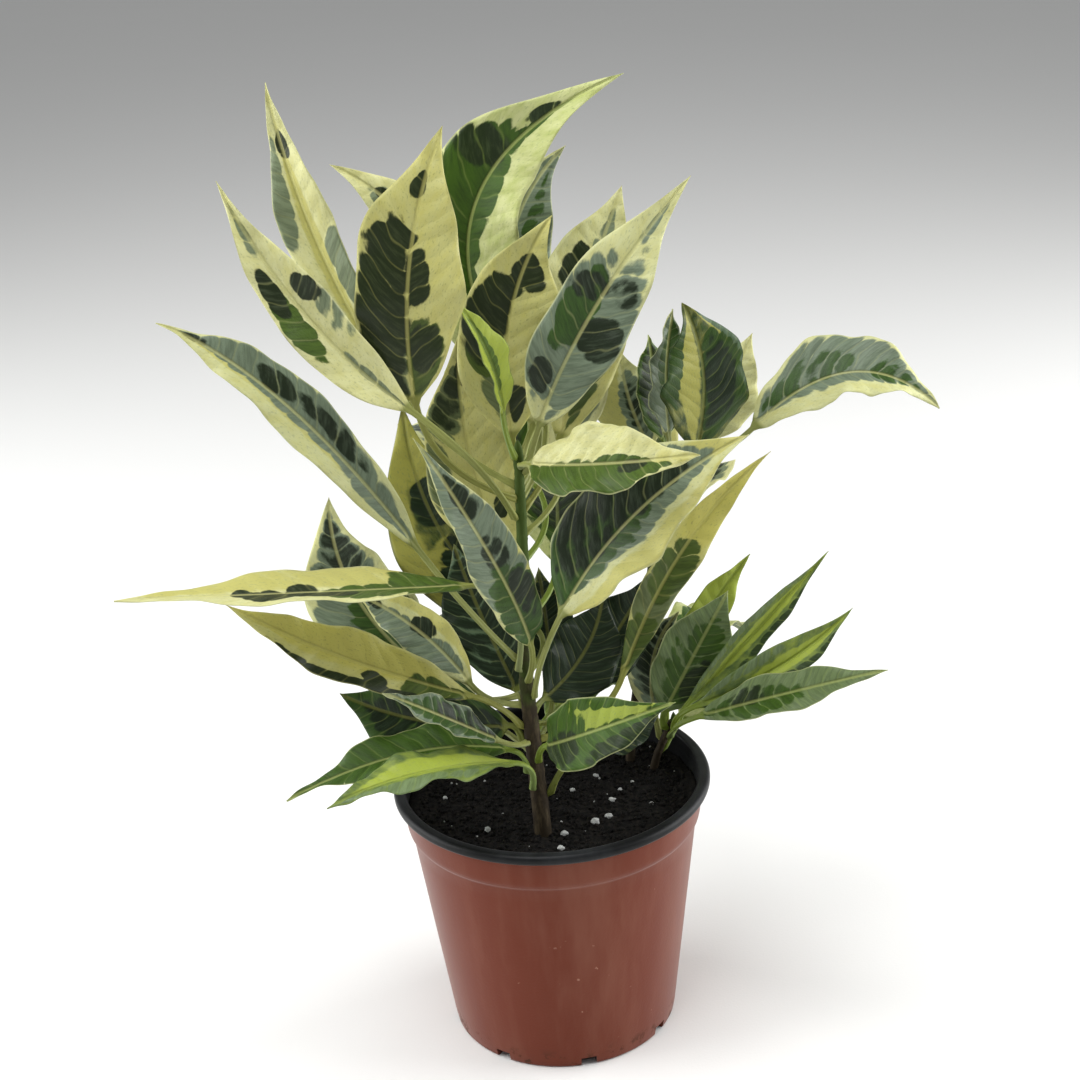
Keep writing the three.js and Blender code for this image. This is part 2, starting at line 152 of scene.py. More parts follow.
# Each leaf: its stem, the height of its joint, the midrib's points where the blade begins, halfway and at the
# tip, where the upper side looks (bearing, rise), width, fold, wave of the edge and finish
Leaf = namedtuple("Leaf", "stem joint neck bend tip looks width fold wave finish")
LEAVES = {
    "crown": [
        ("main", 266, (-54, -8, 309), (-79, -4, 368), (-93, 4, 428), (-115, 20), 26, 18, 1.5, "cream"),
        ("main", 253, (-45, -50, 310), (-81, -54, 352), (-108, -52, 403), (-100, 30), 24, 18, 2, "cream"),
        ("main", 261, (-43, -44, 311), (-41, -46, 365), (-25, -32, 414), (-90, 10), 42, 12, 2, "olive"),
        ("main", 259, (2, 22, 296), (-35, 34, 354), (-75, 42, 387), (-90, 20), 28, 12, 1.5, "cream"),
        ("main", 269, (-4, 6, 300), (-16, 8, 374), (45, 4, 423), (-105, 10), 46, 20, 2, "green"),
        ("main", 263, (2, 11, 290), (-4, 26, 348), (22, 36, 390), (-90, 10), 38, 12, 2, "marbled"),
        ("main", 276, (-7, -18, 285), (-5, -17, 334), (14, -12, 373), (-90, 10), 40, 12, 2, "olive"),
        ("main", 279, (-10, -30, 299), (-14, -38, 326), (-25, -46, 351), (-35, 10), 17, 28, 0.8, "lime"),
        ("main", 272, (4, -26, 292), (28, -28, 339), (68, -16, 386), (-95, 10), 34, 14, 2, "marbled"),
        ("main", 277, (1, -12, 286), (25, 0, 338), (43, 14, 377), (-90, 10), 38, 10, 2, "cream"),
        ("main", 275, (-1, -34, 279), (28, -55, 285), (64, -68, 291), (-90, 45), 32, 18, 2.5, "cream"),
    ],
    "middle": [
        ("main", 224, (-10, -14, 229), (-25, -2, 273), (-26, 0, 324), (-90, 10), 40, 12, 2, "olive"),
        ("main", 180, (-6, 10, 190), (-41, 18, 232), (-53, 26, 287), (-90, 15), 44, 12, 2, "dark"),
        ("main", 190, (-48, -32, 245), (-95, -32, 310), (-141, -30, 345), (-90, 50), 24, 18, 2, "marbled"),
        ("main", 186, (-28, -45, 233), (-93, -58, 240), (-164, -70, 247), (-90, 88), 32, 14, 1, "cream"),
        ("main", 172, (-45, -4, 170), (-78, 4, 209), (-86, 8, 254), (-90, 15), 42, 12, 2, "marbled"),
        ("main", 168, (-32, -16, 175), (-54, -10, 200), (-82, -4, 217), (-90, 45), 21, 14, 2, "marbled"),
        ("main", 178, (-12, -14, 169), (-26, -3, 202), (-35, 4, 231), (-90, 10), 32, 12, 2, "dark"),
        ("main", 181, (-5, -40, 203), (-18, -54, 248), (-45, -48, 298), (-70, 25), 25, 20, 2, "marbled"),
        ("main", 174, (8, -44, 217), (40, -44, 259), (85, -46, 290), (-134, 20), 47, 18, 2, "marbled"),
        ("main", 152, (33, -12, 172), (62, 8, 220), (101, 14, 260), (-90, 10), 18, 16, 2, "olive"),
        ("main", 164, (-1, -17, 166), (18, -3, 181), (27, 4, 204), (-90, 10), 32, 10, 2, "dark"),
        ("main", 158, (15, 8, 156), (33, 22, 177), (49, 28, 200), (-90, 10), 30, 10, 2, "dark"),
    ],
    "back": [
        ("back", 246, (97, 42, 261), (139, 40, 284), (176, 32, 268), (-90, 60), 38, 20, 2, "marbled"),
        ("back", 237, (71, 34, 256), (75, 32, 291), (67, 32, 322), (-65, 5), 42, 10, 2, "dark"),
        ("back", 240, (60, 42, 260), (60, 44, 289), (64, 44, 316), (-50, 5), 24, 14, 2, "marbled"),
        ("back", 236, (59, 52, 254), (56, 56, 279), (54, 58, 301), (-60, 10), 24, 14, 1.5, "green"),
        ("back", 232, (53, 60, 248), (45, 66, 269), (42, 70, 291), (-90, 10), 34, 12, 2, "marbled"),
        ("back", 238, (77, 52, 253), (88, 58, 274), (100, 64, 297), (-90, 10), 28, 12, 2, "cream"),
    ],
    "right": [
        ("right", 134, (63, 10, 146), (93, 8, 180), (124, 6, 216), (-70, 30), 15, 26, 1, "lime"),
        ("right", 131, (65, 0, 149), (103, -8, 171), (131, -14, 198), (-90, 40), 18, 24, 1, "lime"),
        ("right", 128, (66, -6, 147), (103, -22, 164), (142, -36, 179), (-90, 50), 20, 20, 1.5, "green"),
        ("right", 127, (56, 26, 144), (73, 32, 177), (94, 36, 204), (-90, 10), 18, 14, 1.5, "lime"),
        ("right", 132, (52, 14, 140), (67, 16, 168), (82, 18, 195), (-90, 10), 34, 12, 2, "green"),
        ("right", 125, (48, 22, 136), (49, 26, 162), (61, 26, 183), (-90, 10), 24, 12, 2, "marbled"),
    ],
    "low": [
        ("main", 145, (-1, -44, 158), (18, -62, 173), (51, -72, 189), (-90, 35), 30, 20, 2, "green"),
        ("main", 128, (20, -30, 149), (34, -26, 152), (48, -22, 159), (-90, 35), 16, 14, 2, "dark"),
        ("main", 140, (-17, -38, 154), (-60, -44, 158), (-110, -52, 144), (-90, 75), 26, 16, 2, "green"),
        ("main", 133, (-15, -48, 153), (-53, -72, 164), (-89, -88, 160), (-90, 75), 22, 16, 2, "lime"),
        ("main", 152, (-17, -24, 158), (-54, -20, 161), (-87, -20, 176), (-90, 15), 42, 12, 2, "dark"),
        ("main", 153, (-21, -46, 163), (-43, -56, 181), (-65, -62, 196), (-90, 60), 16, 20, 1.5, "marbled"),
        ("main", 160, (-31, -32, 177), (-83, -40, 203), (-126, -44, 231), (-90, 50), 25, 18, 2, "olive"),
    ],
    "rear": [
        ("main", 244, (14, 10, 262), (18, 58, 285), (20, 102, 280), (-90, 70), 38, 16, 2, "cream"),
        ("main", 216, (-14, 22, 240), (-38, 66, 258), (-60, 104, 246), (-60, 70), 38, 16, 2, "marbled"),
        ("main", 206, (8, 12, 216), (10, 60, 228), (6, 105, 216), (-90, 75), 42, 16, 2, "green"),
        ("main", 156, (-16, 8, 166), (-34, 48, 172), (-52, 86, 158), (-90, 80), 34, 16, 2, "dark"),
        ("back", 205, (62, 62, 214), (78, 96, 222), (90, 128, 208), (-110, 75), 34, 16, 2, "cream"),
        ("back", 150, (58, 54, 158), (82, 84, 150), (100, 112, 128), (-100, 75), 32, 16, 2, "green"),
        ("main", 140, (0, 6, 145), (22, 42, 146), (36, 78, 134), (-90, 80), 32, 16, 2, "lime"),
        ("main", 255, (12, 0, 276), (28, 30, 312), (38, 62, 322), (-80, 50), 34, 16, 2, "olive"),
        ("main", 232, (2, 14, 250), (-18, 52, 280), (-30, 88, 292), (-70, 60), 36, 16, 2, "green"),
        ("main", 147, (-30, -2, 154), (-62, 24, 160), (-92, 44, 150), (-70, 75), 32, 16, 2, "marbled"),
        ("back", 216, (56, 56, 230), (50, 90, 256), (42, 120, 262), (-90, 60), 34, 16, 2, "olive"),
        ("right", 120, (60, 24, 130), (82, 44, 140), (104, 62, 134), (-110, 75), 28, 16, 2, "green"),
        ("main", 150, (3, 16, 160), (2, 26, 182), (0, 31, 206), (-90, 10), 26, 10, 2, "dark"),
    ],
}
GROUPS = tuple(LEAVES)
NAMED_LEAVES = {
    f"{group}_{number:02d}": Leaf(*row)
    for group, rows in LEAVES.items()
    for number, row in enumerate(rows, 1)
}

# What each finish is painted with, as 0 to 255 colours
PAINTS = ("Ground", "Yellow", "Grey", "Green", "Dark")
PALETTES = {
    "cream": ((204, 204, 150), (184, 180, 104), (118, 130, 100), (72, 94, 34), (30, 40, 18)),
    "olive": ((180, 178, 114), (178, 172, 88), (98, 108, 70), (72, 88, 34), (30, 40, 14)),
    "marbled": ((198, 200, 148), (188, 184, 108), (114, 128, 106), (58, 84, 36), (28, 38, 22)),
    "green": ((196, 200, 142), (152, 166, 68), (110, 128, 84), (62, 90, 26), (30, 44, 16)),
    "dark": ((38, 58, 26), (150, 148, 70), (84, 104, 78), (52, 76, 28), (20, 34, 14)),
    "lime": ((84, 104, 58), (156, 170, 66), (112, 130, 90), (84, 108, 40), (44, 60, 28)),
}

# Marks on a blade: kind, place along (0 base, 1 tip), place across (-1 to 1), reach along, reach across and
# strength. A strength near a half breaks into bands along the side veins
MARK_KINDS = ("dark", "green", "grey", "yellow")
MARKS = {
    "crown_01": [
        ("grey", 0.66, -0.75, 0.17, 0.45, 1), ("grey", 0.36, 0.75, 0.16, 0.55, 1),
        ("dark", 0.81, 0.1, 0.05, 0.5, 1), ("yellow", 0.5, 0, 0.45, 0.25, 0.9),
    ],
    "crown_02": [
        ("green", 0.5, -0.5, 0.16, 0.42, 1), ("dark", 0.61, -0.5, 0.09, 0.36, 1),
        ("dark", 0.57, 0.6, 0.06, 0.4, 1), ("grey", 0.84, -0.1, 0.12, 0.4, 0.5),
        ("grey", 0.45, 0.75, 0.12, 0.4, 0.6), ("grey", 0.16, 0.1, 0.16, 0.2, 0.7),
    ],
    "crown_03": [
        ("dark", 0.34, -0.48, 0.31, 0.52, 0.9), ("dark", 0.6, -0.4, 0.05, 0.5, 1),
        ("grey", 0.2, -0.5, 0.18, 0.5, 0.9), ("dark", 0.47, 0.16, 0.11, 0.24, 0.9),
        ("dark", 0.2, 0.42, 0.1, 0.42, 0.8), ("dark", 0.79, -0.15, 0.05, 0.3, 1),
        ("green", 0.16, 0.4, 0.15, 0.5, 0.9),
    ],
    "crown_04": [("grey", 0.7, -0.1, 0.11, 0.6, 1), ("dark", 0.75, 0.1, 0.05, 0.3, 0.8)],
    "crown_05": [
        ("green", 0.58, -0.4, 0.16, 0.6, 1), ("dark", 0.66, -0.45, 0.06, 0.6, 0.66),
        ("green", 0.2, 0, 0.24, 0.16, 1), ("green", 0.55, 0.1, 0.16, 0.3, 1),
        ("dark", 0.82, -0.25, 0.05, 0.3, 0.9), ("green", 0.76, 0, 0.14, 0.16, 0.9),
        ("green", 0.4, -0.1, 0.12, 0.36, 1),
    ],
    "crown_06": [("grey", 0.6, 0.2, 0.5, 1.1, 1), ("green", 0.6, 0.5, 0.3, 0.3, 0.5)],
    "crown_07": [
        ("dark", 0.5, -0.5, 0.18, 0.5, 1), ("dark", 0.73, 0.2, 0.085, 0.5, 1),
        ("dark", 0.64, -0.15, 0.06, 0.3, 1), ("green", 0.38, -0.45, 0.12, 0.4, 1),
        ("dark", 0.14, 0.3, 0.08, 0.3, 0.9), ("grey", 0.2, -0.2, 0.14, 0.4, 0.7),
    ],
    "crown_08": [
        ("yellow", 0.5, 0.4, 0.6, 0.8, 0.9), ("green", 0.5, 0, 0.35, 0.3, 1),
        ("yellow", 0.5, -0.8, 0.6, 0.4, 1),
    ],
    "crown_09": [
        # The grey on the left half is partly the leaf's own grey-green and partly painted sheen where the
        # blade catches the light
        ("grey", 0.38, -0.5, 0.28, 0.75, 1), ("green", 0.48, -0.35, 0.15, 0.5, 1),
        ("dark", 0.2, -0.5, 0.07, 0.4, 0.66), ("dark", 0.56, -0.4, 0.05, 0.6, 0.66),
        ("grey", 0.38, 0.45, 0.34, 0.62, 1), ("dark", 0.6, 0.45, 0.06, 0.4, 0.66),
        ("dark", 0.42, 0.45, 0.09, 0.5, 0.9), ("grey", 0.84, 0.1, 0.08, 0.3, 0.7),
    ],
    "crown_10": [
        ("grey", 0.74, 0.05, 0.16, 0.3, 0.62), ("dark", 0.6, -0.4, 0.1, 0.3, 0.8),
        ("grey", 0.3, 0.3, 0.2, 0.5, 0.6),
    ],
    "crown_11": [
        ("green", 0.4, 0.52, 0.5, 0.6, 1), ("green", 0.6, 0.05, 0.16, 0.3, 1),
        ("dark", 0.66, 0.15, 0.08, 0.3, 0.6), ("yellow", 0.9, 0, 0.14, 0.9, 0.7),
    ],
    "middle_01": [
        ("grey", 0.72, -0.45, 0.15, 0.5, 1), ("dark", 0.72, -0.45, 0.13, 0.45, 0.66),
        ("dark", 0.86, 0.2, 0.07, 0.5, 0.9), ("dark", 0.24, 0.35, 0.05, 0.2, 1),
        ("grey", 0.45, -0.75, 0.16, 0.3, 0.8),
    ],
    "middle_02": [
        ("yellow", 0.86, 0, 0.16, 1.2, 1), ("yellow", 0.56, -0.75, 0.34, 0.4, 1),
        ("yellow", 0.4, -0.1, 0.07, 0.5, 1), ("dark", 0.62, 0.1, 0.1, 0.5, 1),
        ("dark", 0.25, 0.2, 0.2, 0.9, 1),
    ],
    "middle_03": [
        # The large grey mark is partly the leaf's own grey-green and partly painted teal-grey sheen
        ("grey", 0.5, 0.35, 0.42, 0.7, 1), ("dark", 0.56, 0.4, 0.1, 0.4, 0.62),
        ("dark", 0.42, 0.5, 0.1, 0.3, 0.58), ("dark", 0.85, 0.2, 0.05, 0.5, 0.7),
        ("dark", 0.3, 0.5, 0.1, 0.4, 0.62), ("grey", 0.15, 0, 0.14, 0.6, 0.9),
        ("yellow", 0.5, -0.2, 0.4, 0.25, 0.8),
    ],
    "middle_04": [
        ("green", 0.12, 0, 0.14, 1.2, 1), ("dark", 0.6, -0.3, 0.07, 0.45, 1),
        ("dark", 0.5, -0.05, 0.05, 0.45, 1), ("dark", 0.67, -0.05, 0.03, 0.3, 1),
        ("green", 0.3, -0.3, 0.2, 0.5, 1), ("dark", 0.44, -0.3, 0.1, 0.3, 0.9),
        ("yellow", 0.5, 0.6, 0.5, 0.5, 0.8),
    ],
    "middle_05": [
        ("grey", 0.72, 0, 0.22, 0.78, 1), ("dark", 0.74, 0, 0.2, 0.75, 0.6),
        ("green", 0.3, 0.2, 0.22, 0.7, 0.9), ("grey", 0.4, -0.5, 0.2, 0.5, 1),
    ],
    "middle_06": [
        ("grey", 0.5, -0.4, 0.4, 0.6, 1), ("dark", 0.46, 0.2, 0.09, 0.4, 1),
        ("yellow", 0.5, 0.85, 0.5, 0.35, 1), ("dark", 0.82, 0, 0.08, 0.5, 0.8),
        ("grey", 0.2, 0, 0.14, 0.5, 0.9),
    ],
    "middle_07": [("grey", 0.5, 0, 0.6, 1.3, 1), ("dark", 0.5, 0, 0.6, 1.3, 0.64)],
    "middle_08": [
        # The grey over the upper blade is partly the leaf's own grey-green and partly painted teal-grey sheen
        ("grey", 0.6, 0, 0.6, 1.0, 1), ("green", 0.16, 0.2, 0.3, 1.2, 1),
        ("dark", 0.3, 0.5, 0.14, 0.5, 0.62), ("dark", 0.76, 0.3, 0.1, 0.6, 0.7),
        ("dark", 0.52, 0.2, 0.08, 0.5, 0.64), ("yellow", 0.5, 0.95, 0.14, 0.3, 1),
    ],
    "middle_09": [
        ("dark", 0.36, -0.45, 0.26, 0.6, 0.62), ("green", 0.34, -0.45, 0.36, 0.8, 1),
        ("grey", 0.62, -0.3, 0.25, 0.7, 1), ("dark", 0.6, -0.3, 0.2, 0.5, 0.62),
        ("grey", 0.5, 0.15, 0.36, 0.34, 1), ("yellow", 0.9, -0.4, 0.14, 0.7, 1),
        ("yellow", 0.4, 0.9, 0.5, 0.3, 1),
    ],
    "middle_10": [
        ("yellow", 0.8, 0, 0.3, 1.3, 1), ("green", 0.42, 0.1, 0.14, 1.0, 0.8),
        ("green", 0.1, 0, 0.14, 1.3, 0.9), ("grey", 0.28, 0.1, 0.24, 1.1, 1),
    ],
    "middle_11": [("dark", 0.5, 0, 0.7, 1.4, 1)],
    "middle_12": [("dark", 0.5, 0, 0.7, 1.4, 1)],
    "back_01": [
        ("grey", 0.5, -0.24, 0.48, 0.72, 1), ("green", 0.3, -0.3, 0.26, 0.4, 0.56),
        ("green", 0.75, -0.1, 0.14, 0.5, 0.56),
    ],
    "back_02": [
        ("green", 0.42, 0.46, 0.4, 0.5, 1), ("dark", 0.42, 0.4, 0.34, 0.4, 0.62),
        ("yellow", 0.72, 0.95, 0.24, 0.3, 1), ("yellow", 0.45, -0.35, 0.5, 0.28, 1),
        ("green", 0.6, -0.8, 0.3, 0.25, 0.9), ("grey", 0.66, 0.95, 0.3, 0.2, 0.9),
    ],
    "back_03": [("grey", 0.5, 0, 0.7, 1.2, 1), ("green", 0.6, 0.2, 0.4, 0.7, 0.9)],
    "back_04": [("green", 0.5, 0, 0.7, 1.2, 1), ("dark", 0.5, 0, 0.5, 0.9, 0.8)],
    "back_05": [
        ("grey", 0.4, 0.2, 0.4, 0.5, 1), ("dark", 0.4, 0.2, 0.3, 0.4, 0.55),
        ("yellow", 0.6, -0.6, 0.5, 0.4, 0.9),
    ],
    "back_06": [("grey", 0.4, -0.4, 0.3, 0.4, 0.6)],
    "right_01": [
        ("yellow", 0.55, 0, 0.4, 0.4, 1), ("dark", 0.5, 0.9, 0.5, 0.35, 0.6),
        ("grey", 0.5, -0.9, 0.5, 0.3, 0.6),
    ],
    "right_02": [
        ("yellow", 0.6, 0, 0.36, 0.42, 1), ("dark", 0.4, 0.85, 0.5, 0.35, 0.6),
        ("grey", 0.3, -0.8, 0.3, 0.35, 0.6),
    ],
    "right_03": [
        ("grey", 0.5, 0, 0.9, 1.5, 1), ("green", 0.3, 0.1, 0.3, 0.8, 0.62),
        ("dark", 0.28, -0.3, 0.12, 0.5, 0.62),
    ],
    "right_04": [("yellow", 0.6, 0, 0.6, 1.4, 1), ("grey", 0.08, 0, 0.26, 1.2, 1)],
    "right_05": [
        ("grey", 0.5, 0, 0.9, 1.6, 1), ("green", 0.4, 0.1, 0.4, 0.8, 0.64),
        ("dark", 0.3, 0.4, 0.2, 0.4, 0.6),
    ],
    "right_06": [("grey", 0.5, 0, 0.6, 0.9, 1), ("dark", 0.5, 0, 0.5, 0.8, 0.6)],
    "low_01": [
        ("yellow", 0.5, 0, 0.9, 1.6, 1), ("green", 0.5, 0.6, 0.8, 0.72, 1),
        ("green", 0.14, -0.2, 0.34, 1.2, 0.9), ("green", 0.6, -0.9, 0.36, 0.3, 0.8),
        ("green", 0.95, 0, 0.1, 1.0, 0.8), ("dark", 0.2, 0.3, 0.2, 0.7, 0.7),
        ("dark", 0.7, 0.75, 0.3, 0.4, 0.7),
    ],
    "low_02": [("dark", 0.5, 0, 0.7, 1.4, 0.8)],
    "low_03": [
        ("green", 0.5, 0, 0.8, 1.4, 1), ("yellow", 0.45, -0.2, 0.3, 0.4, 0.8),
        ("grey", 0.76, 0, 0.3, 1.2, 1),
    ],
    "low_04": [("yellow", 0.4, 0.25, 0.42, 0.4, 1), ("grey", 0.6, -0.6, 0.4, 0.4, 0.8)],
    "low_05": [("green", 0.5, 0, 0.9, 1.5, 1), ("dark", 0.4, 0, 0.5, 0.8, 0.62)],
    "low_06": [
        ("grey", 0.5, 0, 0.8, 1.2, 1), ("green", 0.4, 0, 0.5, 0.9, 0.8), ("dark", 0.3, 0.4, 0.3, 0.6, 0.6),
    ],
    "low_07": [
        ("yellow", 0.55, 0.3, 0.5, 0.7, 1), ("dark", 0.4, -0.9, 0.4, 0.25, 0.9),
        ("dark", 0.36, -0.45, 0.05, 0.3, 1), ("green", 0.12, -0.3, 0.14, 0.8, 0.9),
    ],
}

# What an unseen leaf at the back is marked with, by finish
REAR_MARKS = {
    "cream": [
        ("grey", 0.4, 0.35, 0.3, 0.5, 1), ("dark", 0.4, 0.35, 0.26, 0.4, 0.6),
        ("green", 0.6, -0.4, 0.2, 0.4, 1),
    ],
    "olive": [
        ("dark", 0.35, -0.4, 0.2, 0.45, 1), ("dark", 0.6, 0.35, 0.14, 0.4, 1),
        ("green", 0.3, 0.3, 0.25, 0.4, 0.8),
    ],
    "marbled": [
        ("grey", 0.5, 0, 0.42, 0.75, 1), ("dark", 0.5, 0, 0.38, 0.7, 0.58),
        ("dark", 0.7, 0.3, 0.08, 0.4, 1),
    ],
    "green": [("green", 0.45, 0, 0.4, 0.75, 1), ("dark", 0.45, 0, 0.3, 0.6, 0.7)],
    "dark": [("dark", 0.5, 0, 0.5, 1.1, 0.8), ("yellow", 0.6, 0.7, 0.2, 0.3, 0.8)],
    "lime": [("yellow", 0.5, 0, 0.42, 0.5, 1), ("dark", 0.5, 0.9, 0.5, 0.3, 0.6)],
}

# White grains that the photo shows: place across the soil and radius, in millimetres
PERLITE_SPOTS = [
    (18, -26, 2.0), (24, -22, 1.7), (9, 2, 1.2), (20, 15, 1.3), (26, -8, 1.4), (43, -14, 1.1), (30, 1, 0.9),
    (2, -45, 1.5), (-29, -27, 1.4), (-48, 2, 1.0), (36, 9, 0.9), (4, -34, 1.6),
]


class PotLook(bpy.types.PropertyGroup):
    """Sizes and colours of the nursery pot."""

    rim_radius: bpy.props.FloatProperty(
        name="Rim radius", description="Half the width across the lip", subtype="DISTANCE",
        default=(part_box("pot")[1][0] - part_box("pot")[0][0]) / 2,
    )
    height: bpy.props.FloatProperty(
        name="Height", description="From the floor to the top of the lip", subtype="DISTANCE",
        default=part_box("pot")[1][2],
    )
    terracotta: bpy.props.FloatVectorProperty(
        name="Terracotta", description="Colour of the outer wall", subtype="COLOR", size=4, min=0, max=1,
        default=srgb(101, 39, 14),
    )
    black: bpy.props.FloatVectorProperty(
        name="Black", description="Colour of lip and inner wall", subtype="COLOR", size=4, min=0, max=1,
        default=srgb(14, 15, 16),
    )


class SoilLook(bpy.types.PropertyGroup):
    """Make-up of the potting mix."""

    peat: bpy.props.FloatVectorProperty(
        name="Peat", description="Colour of the moist peat", subtype="COLOR", size=4, min=0, max=1,
        default=srgb(10, 9, 8),
    )
    perlite: bpy.props.FloatVectorProperty(
        name="Perlite", description="Colour of the white grains", subtype="COLOR", size=4, min=0, max=1,
        default=srgb(176, 178, 176),
    )
    crumbs: bpy.props.FloatProperty(
        name="Crumbs", description="Crumbs on each square metre", default=170000, min=0,
    )
    lumps: bpy.props.FloatProperty(
        name="Lumps", description="Height of the lumps", subtype="DISTANCE", default=1.6 * MM,
    )


class StemLook(bpy.types.PropertyGroup):
    """Bark of the stems."""

    bark: bpy.props.FloatVectorProperty(
        name="Bark", description="Colour of the woody foot", subtype="COLOR", size=4, min=0, max=1,
        default=srgb(44, 36, 24),
    )
    shoot: bpy.props.FloatVectorProperty(
        name="Shoot", description="Colour of the young green wood", subtype="COLOR", size=4, min=0, max=1,
        default=srgb(60, 78, 26),
    )


class LeafLook(bpy.types.PropertyGroup):
    """Relief and gloss of the blades."""

    quilting: bpy.props.FloatProperty(
        name="Quilting", description="Rise of the blade between its side veins", subtype="DISTANCE",
        default=0.2 * MM,
    )
    thickness: bpy.props.FloatProperty(
        name="Thickness", description="Thickness of the blade", subtype="DISTANCE", default=0.6 * MM,
    )
    step: bpy.props.FloatProperty(
        name="Step", description="Length of one row of faces", subtype="DISTANCE", default=1.15 * MM,
    )


class StageLook(bpy.types.PropertyGroup):
    """Floor, light and camera."""

    floor: bpy.props.FloatVectorProperty(
        name="Floor", description="Colour of the floor", subtype="COLOR", size=4, min=0, max=1,
        default=srgb(236, 236, 234),
    )
    left_light: bpy.props.FloatProperty(
        name="Left light", description="Power of the light on the left", default=18, min=0,
    )
    right_light: bpy.props.FloatProperty(
        name="Right light", description="Power of the light on the right", default=23, min=0,
    )
    top_light: bpy.props.FloatProperty(
        name="Top light", description="Power of the light overhead", default=19, min=0,
    )
    lens: bpy.props.FloatProperty(
        name="Lens", description="Focal length in millimetres on a 36 mm wide sensor", default=66.67,
    )


# Node helpers


def wire(tree, kind, inputs=None, **settings):
    """Adds a node, sets its settings, and links or sets its inputs."""
    node = tree.nodes.new(kind)
    for key, value in settings.items():
        setattr(node, key, value)
    for key, value in (inputs or {}).items():
        if isinstance(value, bpy.types.NodeSocket):
            tree.links.new(value, node.inputs[key])
        else:
            node.inputs[key].default_value = value
    return node


def calc(tree, operation, first, second=None, third=None, clamp=False):
    """One Math node; returns its value."""
    inputs = {i: v for i, v in enumerate((first, second, third)) if v is not None}
    return wire(tree, "ShaderNodeMath", inputs, operation=operation, use_clamp=clamp).outputs[0]


def blend(tree, share, under, over, mode="MIX"):
    """One colour Mix node; returns its colour."""
    inputs = {0: share, 6: under, 7: over}
    return wire(tree, "ShaderNodeMix", inputs, data_type="RGBA", blend_type=mode).outputs[2]


def ramp(tree, value, low, high, to_low=0.0, to_high=1.0):
    """A smooth step from low to high."""
    inputs = {"Value": value, "From Min": low, "From Max": high, "To Min": to_low, "To Max": to_high}
    return wire(tree, "ShaderNodeMapRange", inputs, interpolation_type="SMOOTHSTEP").outputs[0]


def stretch(tree, vector, factors):
    """Scales a vector along each axis; returns the vector."""
    inputs = {0: vector, 1: factors}
    return wire(tree, "ShaderNodeVectorMath", inputs, operation="MULTIPLY").outputs[0]


def speck_noise(tree, vector, scale, detail=3.0, roughness=0.5):
    """A Noise node; returns its value."""
    inputs = {"Vector": vector, "Scale": scale, "Detail": detail, "Roughness": roughness}
    return wire(tree, "ShaderNodeTexNoise", inputs).outputs[0]


def shader_group(name, inputs, outputs):
    """An empty node group with named sockets; returns the tree, its input values and its output node."""
    tree = bpy.data.node_groups.new(name, "ShaderNodeTree")
    kinds = {"value": "NodeSocketFloat", "colour": "NodeSocketColor", "vector": "NodeSocketVector"}
    for socket, kind in inputs:
        tree.interface.new_socket(socket, in_out="INPUT", socket_type=kinds[kind])
    for socket, kind in outputs:
        tree.interface.new_socket(socket, in_out="OUTPUT", socket_type=kinds[kind])
    source = tree.nodes.new("NodeGroupInput")
    target = tree.nodes.new("NodeGroupOutput")
    return tree, source.outputs, target


def finish_group(tree, target, values):
    """Links what a node group puts out; returns its tree."""
    for socket, value in values.items():
        tree.links.new(value, target.inputs[socket])
    return tree


def vein_group():
    """Reads how far along and across the blade a point lies, and draws veins, mottling and relief."""
    tree, given, target = shader_group(
        "leaf_veins",
        [("Phase", "value"), ("Across", "value"), ("Edge", "value")],
        [
            ("Lobe", "value"), ("Rib", "value"), ("Side", "value"), ("Mottle", "value"), ("Flecks", "value"),
            ("Streak", "value"), ("Drift", "value"), ("Height", "value"),
        ],
    )
    place = wire(tree, "ShaderNodeCombineXYZ", {0: given["Phase"], 1: given["Across"], 2: 0.0}).outputs[0]
    stretched = stretch(tree, place, (0.8, 1.5, 1.0))
    sway = calc(tree, "MULTIPLY_ADD", speck_noise(tree, stretched, 0.6, 1.0), 1.1, -0.55)
    swayed = calc(tree, "ADD", given["Phase"], sway)
    turn = calc(tree, "MULTIPLY", swayed, math.pi)
    swing = calc(tree, "ABSOLUTE", calc(tree, "SINE", turn))
    lobe = calc(tree, "POWER", swing, 0.5)
    away = calc(tree, "ABSOLUTE", given["Across"])
    rib = ramp(tree, away, 0.035, 0.11, 1.0, 0.0)
    off_rib = ramp(tree, given["Edge"], 0.02, 0.14)
    thin = calc(tree, "MULTIPLY", ramp(tree, swing, 0.0, 0.26, 1.0, 0.0), off_rib)
    drift = speck_noise(tree, stretched, 0.55, 2.0)
    side = calc(tree, "MULTIPLY", thin, ramp(tree, drift, 0.3, 0.6, 0.4, 1.0))
    along_veins = stretch(tree, place, (4.6, 1.1, 1.0))
    streak = speck_noise(tree, along_veins, 1.0, 3.0, 0.65)
    mottle = speck_noise(tree, stretched, 1.5, 4.0, 0.6)
    flecks = speck_noise(tree, stretched, 8.0, 3.0, 0.6)
    swell = calc(tree, "MULTIPLY", swing, 0.6)
    grain = calc(tree, "MULTIPLY", flecks, 0.6)
    raised = calc(tree, "ADD", swell, grain)
    height = calc(tree, "SUBTRACT", raised, rib)
    return finish_group(
        tree, target,
        {
            "Lobe": lobe, "Rib": rib, "Side": side, "Mottle": mottle, "Flecks": flecks, "Streak": streak,
            "Drift": drift, "Height": height,
        },
    )


